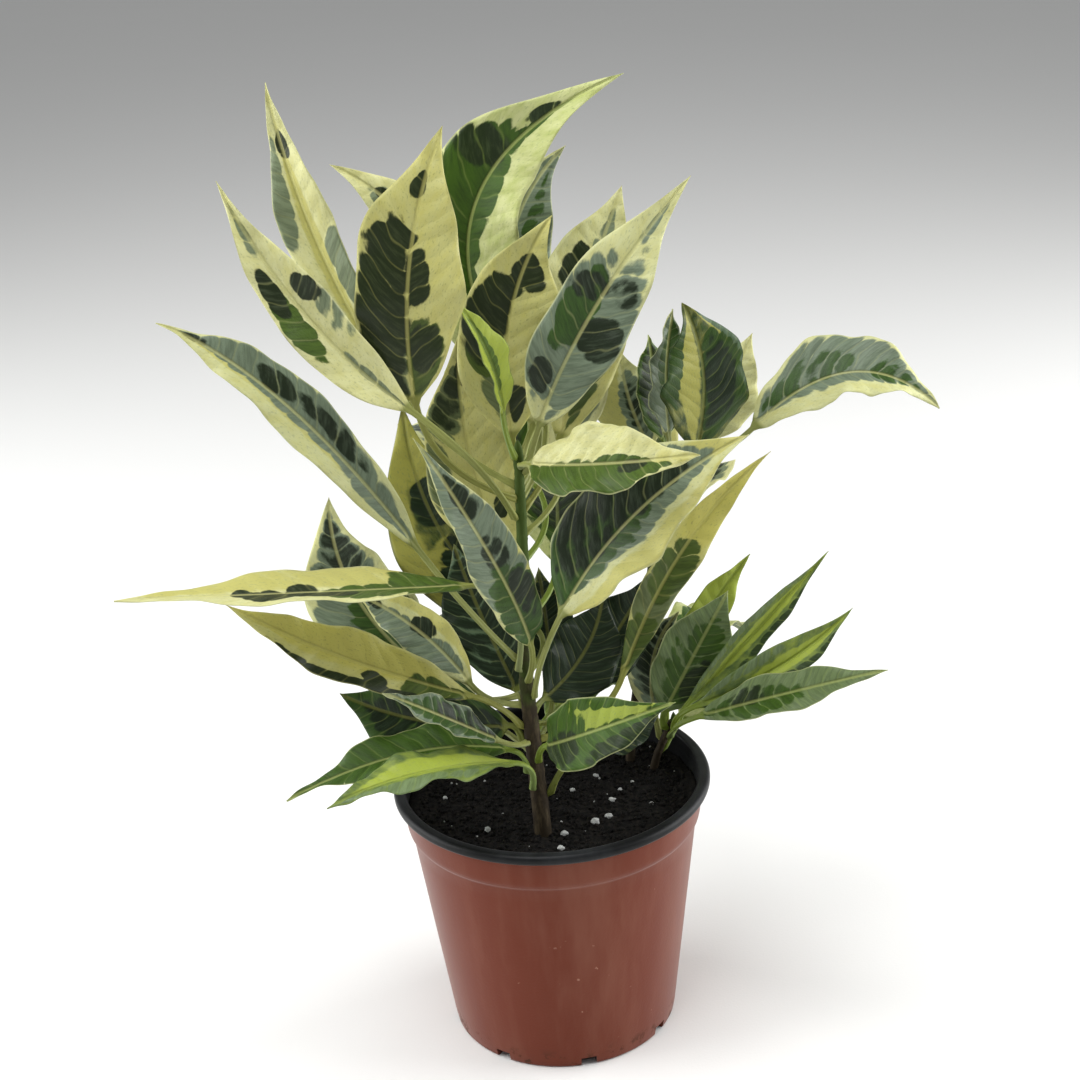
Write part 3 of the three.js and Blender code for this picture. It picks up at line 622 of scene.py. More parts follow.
def zone_group():
    """Gives a soft mark an edge that runs out in rounded fingers between the side veins."""
    tree, given, target = shader_group(
        "leaf_zone",
        [
            ("Field", "value"), ("Lobe", "value"), ("Mottle", "value"), ("Drift", "value"),
            ("Fingers", "value"), ("Blur", "value"),
        ],
        [("Mask", "value")],
    )
    near = calc(tree, "MULTIPLY", given["Field"], 5.0, clamp=True)
    finger = calc(tree, "MULTIPLY", calc(tree, "SUBTRACT", given["Lobe"], 0.62), given["Fingers"])
    stain = calc(tree, "MULTIPLY_ADD", given["Mottle"], 0.8, -0.4)
    bulge = calc(tree, "MULTIPLY_ADD", given["Drift"], 1.1, -0.55)
    ragged = calc(tree, "MULTIPLY", calc(tree, "ADD", finger, calc(tree, "ADD", stain, bulge)), near)
    value = calc(tree, "ADD", given["Field"], ragged)
    low = calc(tree, "SUBTRACT", 0.5, given["Blur"])
    high = calc(tree, "ADD", 0.5, given["Blur"])
    return finish_group(tree, target, {"Mask": ramp(tree, value, low, high)})


def paint_group():
    """Lays the leaf's colours over each other by their masks."""
    masks = (
        "Yellow mask", "Grey mask", "Green mask", "Dark mask", "Rib", "Side", "Mottle", "Flecks", "Streak",
        "Edge", "Upper",
    )
    tree, given, target = shader_group(
        "leaf_paint",
        [(paint, "colour") for paint in PAINTS] + [(mask, "value") for mask in masks],
        [("Colour", "colour"), ("Roughness", "value")],
    )
    dusk = ramp(tree, given["Mottle"], 0.3, 0.75, 0.0, 0.6)
    colour = blend(tree, dusk, given["Ground"], given["Yellow"])
    colour = blend(tree, given["Yellow mask"], colour, given["Yellow"])
    spots = ramp(tree, given["Flecks"], 0.55, 0.68, 0.0, 0.4)
    colour = blend(tree, spots, colour, given["Grey"])
    shade = blend(tree, 0.55, given["Grey"], given["Dark"])
    misty = blend(tree, ramp(tree, given["Streak"], 0.36, 0.66, 0.0, 0.62), given["Grey"], shade)
    colour = blend(tree, given["Grey mask"], colour, misty)
    leafy = blend(tree, ramp(tree, given["Streak"], 0.38, 0.7, 0.0, 0.5), given["Green"], given["Dark"])
    colour = blend(tree, given["Green mask"], colour, leafy)
    deep = blend(tree, ramp(tree, given["Streak"], 0.44, 0.72, 0.0, 0.4), given["Dark"], shade)
    colour = blend(tree, given["Dark mask"], colour, deep)
    marked = calc(tree, "MAXIMUM", given["Dark mask"], given["Green mask"])
    marked = calc(tree, "MAXIMUM", marked, given["Grey mask"])
    vein = calc(tree, "MULTIPLY", given["Side"], calc(tree, "MULTIPLY_ADD", marked, 0.24, 0.06))
    pale_vein = blend(tree, 0.5, given["Grey"], given["Yellow"])
    colour = blend(tree, vein, colour, pale_vein)
    rib = calc(tree, "MULTIPLY", given["Rib"], 0.5)
    colour = blend(tree, rib, colour, blend(tree, 0.45, given["Yellow"], given["Ground"]))
    rim = ramp(tree, given["Edge"], 0.95, 0.99, 0.0, 0.55)
    colour = blend(tree, rim, colour, given["Ground"])
    stalk = ramp(tree, given["Edge"], -0.7, -0.05, 1.0, 0.0)
    colour = blend(tree, stalk, colour, blend(tree, 0.4, given["Green"], given["Yellow"]))
    pale = blend(tree, 0.5, colour, given["Grey"])
    colour = blend(tree, given["Upper"], pale, colour)
    rough = calc(tree, "MULTIPLY_ADD", given["Flecks"], 0.2, 0.3)
    dull = calc(tree, "MULTIPLY_ADD", given["Upper"], -0.15, 0.15)
    return finish_group(tree, target, {"Colour": colour, "Roughness": calc(tree, "ADD", rough, dull)})


def scuff_group():
    """Dust specks, faint streaks and soil splashes on moulded plastic."""
    tree, given, target = shader_group(
        "pot_scuffs",
        [
            ("Place", "vector"), ("Base", "colour"), ("Scuff", "colour"), ("Dirt", "colour"),
            ("Level", "value"),
        ],
        [("Colour", "colour"), ("Roughness", "value"), ("Height", "value")],
    )
    streaked = stretch(tree, given["Place"], (1.0, 1.0, 0.16))
    cloud = speck_noise(tree, streaked, 46.0, 4.0, 0.6)
    colour = blend(tree, ramp(tree, cloud, 0.4, 0.75, 0.0, 0.14), given["Base"], given["Scuff"])
    dots = speck_noise(tree, given["Place"], 330.0, 2.0, 0.5)
    specks = ramp(tree, dots, 0.72, 0.78, 0.0, 0.55)
    patches = ramp(tree, speck_noise(tree, given["Place"], 28.0), 0.48, 0.62)
    specks = calc(tree, "MULTIPLY", specks, patches)
    colour = blend(tree, specks, colour, given["Scuff"])
    low = ramp(tree, given["Level"], 0.001, 0.012, 1.0, 0.0)
    grime = ramp(tree, speck_noise(tree, given["Place"], 160.0, 5.0, 0.65), 0.52, 0.64)
    splash = calc(tree, "MULTIPLY", calc(tree, "MULTIPLY", low, grime), 0.8)
    colour = blend(tree, splash, colour, given["Dirt"])
    rough = calc(tree, "MULTIPLY_ADD", cloud, 0.2, 0.3)
    fine = speck_noise(tree, given["Place"], 900.0, 2.0)
    height = calc(tree, "ADD", calc(tree, "MULTIPLY", fine, 0.4), specks)
    return finish_group(
        tree, target, {"Colour": colour, "Roughness": calc(tree, "ADD", rough, splash), "Height": height}
    )


def grain_group():
    """Broken colour and relief at one grain size, for bark, peat and grains."""
    tree, given, target = shader_group(
        "earthy_grain",
        [("Place", "vector"), ("Base", "colour"), ("Light", "colour"), ("Size", "value")],
        [("Colour", "colour"), ("Roughness", "value"), ("Height", "value")],
    )
    coarse = speck_noise(tree, given["Place"], given["Size"], 5.0, 0.62)
    fine = speck_noise(tree, given["Place"], calc(tree, "MULTIPLY", given["Size"], 5.0), 3.0)
    share = ramp(tree, coarse, 0.42, 0.72)
    colour = blend(tree, calc(tree, "MULTIPLY", share, fine), given["Base"], given["Light"])
    rough = calc(tree, "MULTIPLY_ADD", fine, 0.25, 0.65)
    height = calc(tree, "ADD", coarse, calc(tree, "MULTIPLY", fine, 0.4))
    return finish_group(tree, target, {"Colour": colour, "Roughness": rough, "Height": height})


def place_group(tree, name, build, inputs):
    """Puts a shared node group into a material, made the first time it is asked for."""
    group = bpy.data.node_groups.get(name) or build()
    return wire(tree, "ShaderNodeGroup", inputs, node_tree=group).outputs


# Materials


def new_material(name, bump_distance, gloss=0.5):
    """A Principled material with a Bump node; returns the material, its tree, the shader and the bump."""
    material = bpy.data.materials.new(name)
    material.use_nodes = True
    tree = material.node_tree
    tree.nodes.clear()
    shader = wire(tree, "ShaderNodeBsdfPrincipled", {"Specular IOR Level": gloss})
    output = wire(tree, "ShaderNodeOutputMaterial")
    tree.links.new(shader.outputs[0], output.inputs[0])
    bump = wire(tree, "ShaderNodeBump", {"Distance": bump_distance})
    tree.links.new(bump.outputs[0], shader.inputs["Normal"])
    return material, tree, shader, bump


def dress(tree, shader, bump, colour, roughness, height):
    """Gives the shader its colour and roughness and the bump its height."""
    tree.links.new(colour, shader.inputs["Base Color"])
    tree.links.new(roughness, shader.inputs["Roughness"])
    tree.links.new(height, bump.inputs["Height"])


def leaf_material(finish):
    """Waxy blade painted by the leaf's own marks."""
    name = finish + "_blade"
    if name in bpy.data.materials:
        return bpy.data.materials[name]
    material, tree, shader, bump = new_material(name, 0.3 * MM, 0.22)
    run = wire(tree, "ShaderNodeAttribute", attribute_name="run")
    zones = wire(tree, "ShaderNodeAttribute", attribute_name="zones")
    place = wire(tree, "ShaderNodeSeparateXYZ", {0: run.outputs["Vector"]}).outputs
    veins = place_group(
        tree, "leaf_veins", vein_group, {"Phase": place[0], "Across": place[1], "Edge": place[2]}
    )
    fields = wire(tree, "ShaderNodeSeparateXYZ", {0: zones.outputs["Vector"]}).outputs
    masks = {}
    for kind, field, fingers, blur in (
        ("Dark mask", fields[0], 0.36, 0.13), ("Green mask", fields[1], 0.4, 0.09),
        ("Grey mask", fields[2], 0.4, 0.13), ("Yellow mask", zones.outputs["Alpha"], 0.2, 0.3),
    ):
        masks[kind] = place_group(
            tree, "leaf_zone", zone_group,
            {
                "Field": field, "Lobe": veins["Lobe"], "Mottle": veins["Mottle"], "Drift": veins["Drift"],
                "Fingers": fingers, "Blur": blur,
            },
        )["Mask"]
    paint = {name: srgb(*colour) for name, colour in zip(PAINTS, PALETTES[finish])}
    detail = {key: veins[key] for key in ("Rib", "Side", "Mottle", "Flecks", "Streak")}
    skin = place_group(
        tree, "leaf_paint", paint_group,
        {**paint, **masks, **detail, "Edge": place[2], "Upper": run.outputs["Alpha"]},
    )
    dress(tree, shader, bump, skin["Colour"], skin["Roughness"], veins["Height"])
    shader.inputs["Coat Weight"].default_value = 0.04
    shader.inputs["Coat Roughness"].default_value = 0.25
    return material


def plastic_material(name, base, scuff, dust):
    """Moulded plastic with dust, streaks and splashes near the foot."""
    material, tree, shader, bump = new_material(name, 0.12 * MM, 0.16)
    shader.inputs["Sheen Weight"].default_value = dust
    shader.inputs["Sheen Roughness"].default_value = 0.4
    place = wire(tree, "ShaderNodeTexCoord").outputs["Object"]
    level = wire(tree, "ShaderNodeSeparateXYZ", {0: place}).outputs[2]
    skin = place_group(
        tree, "pot_scuffs", scuff_group,
        {"Place": place, "Base": base, "Scuff": scuff, "Dirt": srgb(58, 44, 30), "Level": level},
    )
    dress(tree, shader, bump, skin["Colour"], skin["Roughness"], skin["Height"])
    return material


def grain_material(name, base, light, size, relief):
    """Peat or white grains, broken up at one grain size."""
    material, tree, shader, bump = new_material(name, relief, 0.15)
    place = wire(tree, "ShaderNodeTexCoord").outputs["Object"]
    skin = place_group(
        tree, "earthy_grain", grain_group, {"Place": place, "Base": base, "Light": light, "Size": size}
    )
    dress(tree, shader, bump, skin["Colour"], skin["Roughness"], skin["Height"])
    return material


def bark_material(look):
    """Brown bark at the foot that turns into green wood higher up."""
    material, tree, shader, bump = new_material("stem_bark", 0.3 * MM, 0.2)
    place = wire(tree, "ShaderNodeTexCoord").outputs["Object"]
    drawn_out = stretch(tree, place, (1.0, 1.0, 0.25))
    age = wire(tree, "ShaderNodeAttribute", attribute_name="age").outputs["Fac"]
    skin = place_group(
        tree, "earthy_grain", grain_group,
        {"Place": drawn_out, "Base": look.bark, "Light": srgb(96, 84, 62), "Size": 420.0},
    )
    patches = speck_noise(tree, place, 130.0, 4.0)
    patchy_age = calc(tree, "ADD", age, calc(tree, "MULTIPLY_ADD", patches, 0.5, -0.25))
    green = ramp(tree, patchy_age, 0.3, 0.62)
    colour = blend(tree, calc(tree, "MULTIPLY", green, 0.94), skin["Colour"], tuple(look.shoot))
    dress(tree, shader, bump, colour, skin["Roughness"], skin["Height"])
    return material


# Meshes


def new_piece(name, mesh, slot, *nodes):
    """Links a finished mesh, lets it ride on the part and stand for its CAD nodes."""
    piece = bpy.data.objects.new(name, mesh)
    bpy.context.scene.collection.objects.link(piece)
    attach(piece, BODY)
    if nodes:
        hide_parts(*nodes)
    return piece


def grid_mesh(name, points, faces):
    """A smooth mesh from points in metres and faces."""
    mesh = bpy.data.meshes.new(name)
    mesh.from_pydata([tuple(p) for p in points], [], faces)
    mesh.validate()
    mesh.shade_smooth()
    return mesh


def ring_faces(rings, sides, start=0):
    """Faces between rings of points that follow each other, from the point with the number start."""
    faces = []
    for ring in range(rings - 1):
        for k in range(sides):
            a = start + ring * sides + k
            b = start + ring * sides + (k + 1) % sides
            faces.append((a, b, b + sides, a + sides))
    return faces


def end_face(first, sides, below):
    """The flat face over a ring, looking down where it lies below the rest."""
    ring = range(first, first + sides)
    return tuple(reversed(ring)) if below else tuple(ring)


def ring_turns(sides):
    """The angles of a ring's points."""
    return [2 * math.pi * k / sides for k in range(sides)]


def set_colours(mesh, name, values):
    """Stores one four-part value for each vertex."""
    layer = mesh.attributes.new(name, "FLOAT_COLOR", "POINT")
    layer.data.foreach_set("color", np.asarray(values, np.float32).ravel())


def unit(vectors):
    """Vectors of length one."""
    return vectors / np.linalg.norm(vectors, axis=-1, keepdims=True)


def smooth_step(value, low, high):
    """Runs smoothly from 0 at low to 1 at high."""
    share = np.clip((value - low) / (high - low), 0, 1)
    return share * share * (3 - 2 * share)


def stem_at(stem, z):
    """A stem's centre and radius at a height, in millimetres."""
    centre, foot_radius, top_radius = STEMS[stem]
    heights = [p[2] for p in centre]
    level = min(max(z, SOIL_LEVEL), heights[-1])
    xy = [np.interp(level, heights, [p[k] for p in centre]) for k in (0, 1)]
    rise = (level - SOIL_LEVEL) / (heights[-1] - SOIL_LEVEL)
    return np.array([*xy, z]), foot_radius + (top_radius - foot_radius) * rise


class Arc:
    """A quadratic curve by its two ends and the point that it pulls towards."""

    def __init__(self, start, pull, end):
        self.start, self.pull, self.end = (np.asarray(p, float) for p in (start, pull, end))

    @classmethod
    def through(cls, start, middle, end):
        """The curve that passes the middle point halfway."""
        start, middle, end = (np.asarray(p, float) for p in (start, middle, end))
        return cls(start, 2 * middle - (start + end) / 2, end)

    def at(self, t):
        """Points at shares of the run."""
        t = np.asarray(t, float)[:, None]
        return (1 - t) ** 2 * self.start + 2 * t * (1 - t) * self.pull + t * t * self.end

    def direction(self, t):
        """Directions at shares of the run."""
        t = np.asarray(t, float)[:, None]
        return unit((1 - t) * (self.pull - self.start) + t * (self.end - self.pull))

    def length(self, pieces):
        """Length of the curve, measured over a number of points."""
        points = self.at(np.linspace(0, 1, pieces))
        return np.linalg.norm(np.diff(points, axis=0), axis=1).sum()


def outline(u):
    """Half the blade's width as a share of its greatest."""
    widest = BASE_SHARPNESS / (BASE_SHARPNESS + TIP_SHARPNESS)
    most = widest**BASE_SHARPNESS * (1 - widest) ** TIP_SHARPNESS
    pinched = 1 - TIP_PINCH * smooth_step(u, PINCH_BEGINS, PINCH_ENDS)
    return np.clip(u, 0, 1) ** BASE_SHARPNESS * np.clip(1 - u, 0, 1) ** TIP_SHARPNESS / most * pinched


def leaf_frames(leaf, step):
    """Stations along stalk and blade: centre, side, upward normal, place along the blade and stalk still to
    come; and the blade's length."""
    middle, radius = stem_at(leaf.stem, leaf.joint)
    neck = np.array(leaf.neck, float)
    away = neck - middle
    away[2] = 0
    away = away / np.linalg.norm(away)
    blade = Arc.through(neck, leaf.bend, leaf.tip)
    bearing, rise = np.radians(leaf.looks)
    level = math.cos(rise)
    facing = np.array([level * math.cos(bearing), level * math.sin(bearing), math.sin(rise)])

    def stalk_from(reach):
        foot = middle + away * (radius + TOUCH_GAP + reach)
        pull = neck - blade.direction([0.0])[0] * np.linalg.norm(foot - neck) / 2
        return Arc(foot, pull, neck)

    first = stalk_from(STALK_HALF_THICKNESS).direction([0.0])[0]
    side = np.cross(first, facing)
    side /= np.linalg.norm(side)
    up = np.cross(side, first)
    reach = math.hypot(STALK_HALF_WIDTH * side @ away, STALK_HALF_THICKNESS * up @ away)
    stalk = stalk_from(reach)
    sunk = reach + TOUCH_GAP + HEEL_DEPTH
    heel = stalk.at([0.0]) - away * sunk - np.array([0, 0, HEEL_DROP])

    length = blade.length(40)
    stalk_length = stalk.length(20)
    stalk_t = np.linspace(0, STALK_SHARE, max(6, round(stalk_length / (2 * step))))
    blade_t = np.linspace(0, 1, max(24, round(length / step)))[1:]
    blade_t = 1 - (1 - blade_t) ** 1.1
    centre = np.vstack([heel, stalk.at(stalk_t), blade.at(blade_t)])
    ahead = np.vstack([stalk.direction([0.0]), stalk.direction(stalk_t), blade.direction(blade_t)])
    side = unit(np.cross(ahead, facing))
    normal = np.cross(side, ahead)
    u = np.concatenate([[0.0], np.zeros(len(stalk_t)), blade_t])
    stalk_left = np.concatenate([[stalk_length], stalk_length * (1 - stalk_t), np.zeros(len(blade_t))])
    return centre, side, unit(normal), u, stalk_left, length


def leaf_faces(rows, columns):
    """Faces of both skins of a leaf and of its two ends."""
    count = 2 * columns
    faces = ring_faces(rows, count)
    last = (rows - 1) * count
    for i in range(columns - 1):
        faces.append((i, count - 1 - i, count - 2 - i, i + 1))
        faces.append((last + i, last + i + 1, last + count - 2 - i, last + count - 1 - i))
    return faces


def mark_zones(name, finish, along_blade, across_blade):
    """How strongly each kind of mark lies on each point of a blade."""
    fields = {kind: np.zeros_like(along_blade * across_blade) for kind in MARK_KINDS}
    for kind, along, over, reach_along, reach_over, strength in MARKS.get(name) or REAR_MARKS[finish]:
        off_along = (along_blade - along) / reach_along
        off_across = (across_blade - over) / reach_over
        distance = np.sqrt(off_along**2 + off_across**2)
        field = strength * (1 - smooth_step(distance, MARK_FADES, MARK_ENDS))
        fields[kind] = np.maximum(fields[kind], field)
    return np.stack([fields[kind] for kind in MARK_KINDS], axis=-1)


def leaf_mesh(name, leaf, index, look):
    """A closed blade with its stalk: two skins, a rib below, a groove above, quilted between the veins."""
    centre, side, normal, u, stalk_left, length = leaf_frames(leaf, look.step / MM)
    fold = math.radians(leaf.fold)
    half_count = np.arange(-COLUMNS, COLUMNS + 1) / COLUMNS
    v = (np.sign(half_count) * np.abs(half_count) ** COLUMN_CROWDING)[None, :]
    v_abs = np.abs(v)
    uu = u[:, None]

    # Width along the leaf: the swollen foot, the stalk that melts into the blade, and the wandering edge
    melt = smooth_step(uu, 0.0, 0.1)
    wander = np.sin(uu * (9 + index % 4) + index + np.sign(v) * 1.3)
    wander = wander + 0.6 * np.sin(uu * (17 + index % 5) + 2.1 * index + np.sign(v) * 2.2)
    blade_half = leaf.width / 2 * outline(uu) * (1 + EDGE_WANDER * wander * np.sin(np.pi * uu))
    flare = 1 + STALK_FLARE * np.exp(-(((stalk_left[0] - stalk_left) / FLARE_REACH) ** 2))[:, None]
    flare[0] = HEEL_SHARE
    half = np.sqrt((STALK_HALF_WIDTH * flare * (1 - melt)) ** 2 + blade_half**2)
    half = np.maximum(half, LEAST_HALF_WIDTH)
    across = half * v
    rib = np.exp(-((across / RIB_REACH) ** 2))
    spacing = VEIN_SPACING + VEIN_SPACING_GROWTH * length
    phase = (uu * length - VEIN_SLANT * np.abs(across) - VEIN_BOW * across**2) / spacing

    # Form of the blade: fold, curl, waves, ruffles and the quilting between the veins
    lift = half * v_abs**FOLD_BOW * math.sin(fold) * melt
    curl = -EDGE_CURL * half * v_abs**4 * melt
    swell = leaf.wave * np.sqrt(np.clip(4 * uu * (1 - uu), 0, 1))
    turn = 2 * math.pi * WAVES_PER_BLADE * uu + index * WAVE_SHIFT_PER_LEAF
    turn = turn + np.where(v < 0, WAVE_SHIFT_ACROSS, 0.0)
    ripple = swell * v_abs**2 * np.sin(turn)
    ruffle = RUFFLE_SHARE * swell * v_abs**3 * np.sin(turn * RUFFLES_PER_WAVE + index)
    quilt = look.quilting / MM * np.abs(np.sin(math.pi * phase)) * melt * np.sin(np.pi * v_abs**0.8)

    # Thickness: a round stalk, and a thin blade with its rib below and groove above
    drop = look.thickness / MM / 2 * (0.45 + 0.55 * np.sqrt(1 - v_abs**2))
    round_stalk = STALK_HALF_THICKNESS * flare * np.sqrt(np.clip(1 - v_abs**2, 0, 1))
    taper = 1 - RIB_TAPER * uu
    above = (1 - melt) * round_stalk * (1 - STALK_GROOVE * rib) + melt * (drop - GROOVE_DEPTH * rib * taper)
    below = (1 - melt) * round_stalk + melt * (drop + RIB_RISE * rib * taper)
    spread = math.cos(fold) * melt + (1 - melt)

    middle = lift + curl + ripple + ruffle + quilt
    base = centre[:, None, :] + side[:, None, :] * (across * spread)[..., None]
    upper = base + normal[:, None, :] * (middle + above)[..., None]
    lower = base + normal[:, None, :] * (middle - below)[..., None]
    rings = np.concatenate([upper, lower[:, ::-1]], axis=1)
    mesh = grid_mesh(name, rings.reshape(-1, 3) * MM, leaf_faces(len(rings), v.size))

    # What the material reads: the marks, and for each point its run along the veins, its reach from the rib,
    # its nearness to the edge (below zero on the stalk) and whether it is on the upper side
    zones = mark_zones(name, leaf.finish, uu, v)
    own_shift = 13.0 * (index + 1)
    trail = phase - stalk_left[:, None] / spacing + own_shift
    on_stalk = 1 - smooth_step(uu, 0.0, 0.05) * np.ones_like(phase)
    off_rib = across * 0.1 + 0.3 * on_stalk
    edge = v_abs * smooth_step(uu, 0.05, 0.16) - on_stalk
    run = np.stack([trail, off_rib, edge, np.ones_like(phase)], axis=-1)
    run_below = run.copy()
    run_below[..., 3] = 0.0
    set_colours(mesh, "zones", np.concatenate([zones, zones[:, ::-1]], axis=1))
    set_colours(mesh, "run", np.concatenate([run, run_below[:, ::-1]], axis=1))
    mesh.materials.append(leaf_material(leaf.finish))
    return mesh


def add_spur(points, ages, faces):
    """A short dry stub where a side shoot has died."""
    foot, tip = np.array(SPUR_FOOT), np.array(SPUR_TIP)
    sides, rings = 12, 9
    ahead = unit(tip - foot)
    across = unit(np.cross(ahead, (0, 1, 0)))
    over = np.cross(ahead, across)
    start = len(points)
    for r in range(rings):
        share = r / (rings - 1)
        radius = 1.0 - 0.45 * share + 0.1 * math.sin(r * 2.3)
        middle = foot + (tip - foot) * share + across * 0.6 * math.sin(share * 3)
        for turn in ring_turns(sides):
            points.append(tuple(middle + radius * (math.cos(turn) * across + math.sin(turn) * over)))
            ages.append(0.0)
    faces += ring_faces(rings, sides, start)
    faces.append(end_face(start, sides, True))
    faces.append(end_face(start + (rings - 1) * sides, sides, False))


def stem_mesh(stem, look):
    """A round stem with leaf scars, from inside the soil to its growing tip."""
    sides = 28
    level_step = 0.9
    sunk = 24
    centre, _, _ = STEMS[stem]
    top = centre[-1][2]
    tallest = STEMS["main"][0][-1][2]
    joints = [leaf.joint for leaf in NAMED_LEAVES.values() if leaf.stem == stem]
    levels = np.arange(SOIL_LEVEL - sunk, top, level_step)
    turns = ring_turns(sides)
    points = []
    ages = []
    for z in levels:
        window = [stem_at(stem, z + d)[0][:2] for d in (-5, -2.5, 0, 2.5, 5)]
        middle = np.mean(window, axis=0)
        radius = stem_at(stem, z)[1]
        scar = sum(math.exp(-(((z - joint + 1.5) / 0.9) ** 2)) for joint in joints)
        radius += 0.22 * min(scar, 1.2)
        for turn in turns:
            rough = noise.noise(Vector((math.cos(turn) * 2, math.sin(turn) * 2, z * 0.22))) * 0.16
            reach = radius + rough
            points.append((middle[0] + reach * math.cos(turn), middle[1] + reach * math.sin(turn), z))
            ages.append((z - SOIL_LEVEL) / (tallest - SOIL_LEVEL))

    bud_rings, bud_height = 5, 5.0
    middle, radius = stem_at(stem, top)
    for k in range(1, bud_rings + 1):
        share = k / bud_rings
        z = top - level_step + bud_height * share
        reach = max(radius * math.cos(share * math.pi / 2) ** 0.8, 0.05)
        for turn in turns:
            points.append((middle[0] + reach * math.cos(turn), middle[1] + reach * math.sin(turn), z))
            ages.append(1.0)
    rings = len(levels) + bud_rings
    faces = ring_faces(rings, sides)
    faces.append(end_face(0, sides, True))
    faces.append(end_face((rings - 1) * sides, sides, False))
    if stem == "back":
        add_spur(points, ages, faces)
    mesh = grid_mesh(stem + "_stem", np.array(points) * MM, faces)
    layer = mesh.attributes.new("age", "FLOAT", "POINT")
    layer.data.foreach_set("value", np.array(ages, np.float32))
    mesh.materials.append(bpy.data.materials.get("stem_bark") or bark_material(look))
    return mesh


def corner(centre, radius, start, end, steps):
    """Points of a rounded corner of the pot's section."""
    angles = np.radians(np.linspace(start, end, steps))
    return [(centre[0] + radius * math.cos(a), centre[1] + radius * math.sin(a)) for a in angles]


def pot_section(rim, height):
    """The pot's section from the middle of its underside, over the lip, to the middle of its floor; and where
    its black part begins."""
    base = POT_FOOT_RADIUS
    lip_height, overhang, collar_drop, step = 4.5, 2.6, 15.0, 1.4
    foot_round, lip_round, top_round, throat_round = 1.4, 1.9, 2.1, 1.4
    lip = height - lip_height
    collar = lip - collar_drop
    top_radius = rim - overhang - step

    def outer(z):
        return base + (top_radius - base) * z / height

    def inner(z):
        return outer(z) - POT_WALL

    outside = [(0.0, 0.0), (30.0, 0.0), (base - 4.0, 0.0)]
    outside += corner((base - foot_round, foot_round), foot_round, -90, -5, 7)
    outside += [(outer(z), z) for z in np.linspace(4, collar - 1.0, 16)]
    outside += [(outer(collar) + 0.15, collar - 0.2), (outer(collar) + step * 0.55, collar + 0.5)]
    outside += [(outer(collar) + step, collar + step), (outer(collar + 3) + step, collar + 3)]
    outside += [(outer(z) + step, z) for z in np.linspace(collar + 5, lip - 0.4, 5)]
    rolled = [(outer(lip) + step + 0.3, lip)]
    rolled += corner((rim - lip_round, lip + lip_round), lip_round, -80, 0, 7)
    rolled += corner((rim - top_round, height - top_round), top_round, 0, 90, 8)
    rolled += corner((rim - overhang - 1.2, height - throat_round), throat_round, 90, 165, 7)
    inside = [(inner(z) + step, z) for z in np.linspace(lip - 0.5, collar + step, 6)]
    inside += [(inner(z), z) for z in np.linspace(collar - 0.4, POT_FLOOR + 1.5, 12)]
    inside += [(inner(POT_FLOOR) - 1.5, POT_FLOOR), (24.0, POT_FLOOR), (0.0, POT_FLOOR)]
    return outside + rolled + inside, len(outside) - 1


def pot_mesh(look):
    """The pot turned from its section, with its drain slots cut."""
    section, black_from = pot_section(look.rim_radius / MM, look.height / MM)
    sides = 220
    lathe = bmesh.new()
    rings = []
    for radius, z in section:
        if radius == 0:
            rings.append([lathe.verts.new((0, 0, z * MM))])
            continue
        ring = []
        for turn in ring_turns(sides):
            place = (radius * MM * math.cos(turn), radius * MM * math.sin(turn), z * MM)
            ring.append(lathe.verts.new(place))
        rings.append(ring)
    for number, (low, high) in enumerate(zip(rings, rings[1:])):
        for k in range(sides):
            n = (k + 1) % sides
            if len(low) == 1:
                loop = (low[0], high[n], high[k])
            elif len(high) == 1:
                loop = (low[k], low[n], high[0])
            else:
                loop = (low[k], low[n], high[n], high[k])
            face = lathe.faces.new(loop)
            face.material_index = 1 if number >= black_from else 0
    bmesh.ops.recalc_face_normals(lathe, faces=lathe.faces)
    mesh = bpy.data.meshes.new("nursery_pot")
    lathe.to_mesh(mesh)
    lathe.free()
    dust, black_dust = 0.19, 0.05
    terracotta = plastic_material("pot_terracotta", tuple(look.terracotta), srgb(174, 128, 108), dust)
    black = plastic_material("pot_black", tuple(look.black), srgb(88, 92, 96), black_dust)
    mesh.materials.append(terracotta)
    mesh.materials.append(black)
    return cut_slots(mesh)


def cut_slots(mesh, slots=8, width=7.0, height=4.5, depth=5.0, first=10.0):
    """Cuts the drain slots where the wall meets the floor; the first is turned by a few degrees."""
    tool = bmesh.new()
    for k in range(slots):
        turn = Matrix.Rotation(math.radians(first + k * 360 / slots), 4, "Z")
        size = Matrix.Diagonal((depth * 2 * MM, width * MM, height * 2 * MM, 1))
        place = Matrix.Translation((POT_FOOT_RADIUS * MM, 0, 0))
        bmesh.ops.create_cube(tool, size=1.0, matrix=turn @ place @ size)
    tool_mesh = bpy.data.meshes.new("slot_cutter")
    tool.to_mesh(tool_mesh)
    tool.free()
    pot = bpy.data.objects.new("slot_pot", mesh)
    cutter = bpy.data.objects.new("slot_cutter", tool_mesh)
    for item in (pot, cutter):
        bpy.context.scene.collection.objects.link(item)
    cut = pot.modifiers.new("slots", "BOOLEAN")
    cut.operation = "DIFFERENCE"
    cut.solver = "EXACT"
    cut.object = cutter
    bpy.context.view_layer.update()
    done = bpy.data.meshes.new_from_object(pot.evaluated_get(bpy.context.evaluated_depsgraph_get()))
    for item in (pot, cutter):
        bpy.data.objects.remove(item)
    done.name = "nursery_pot"
    done.shade_smooth()
    done.set_sharp_from_angle(angle=math.radians(32))
    return done


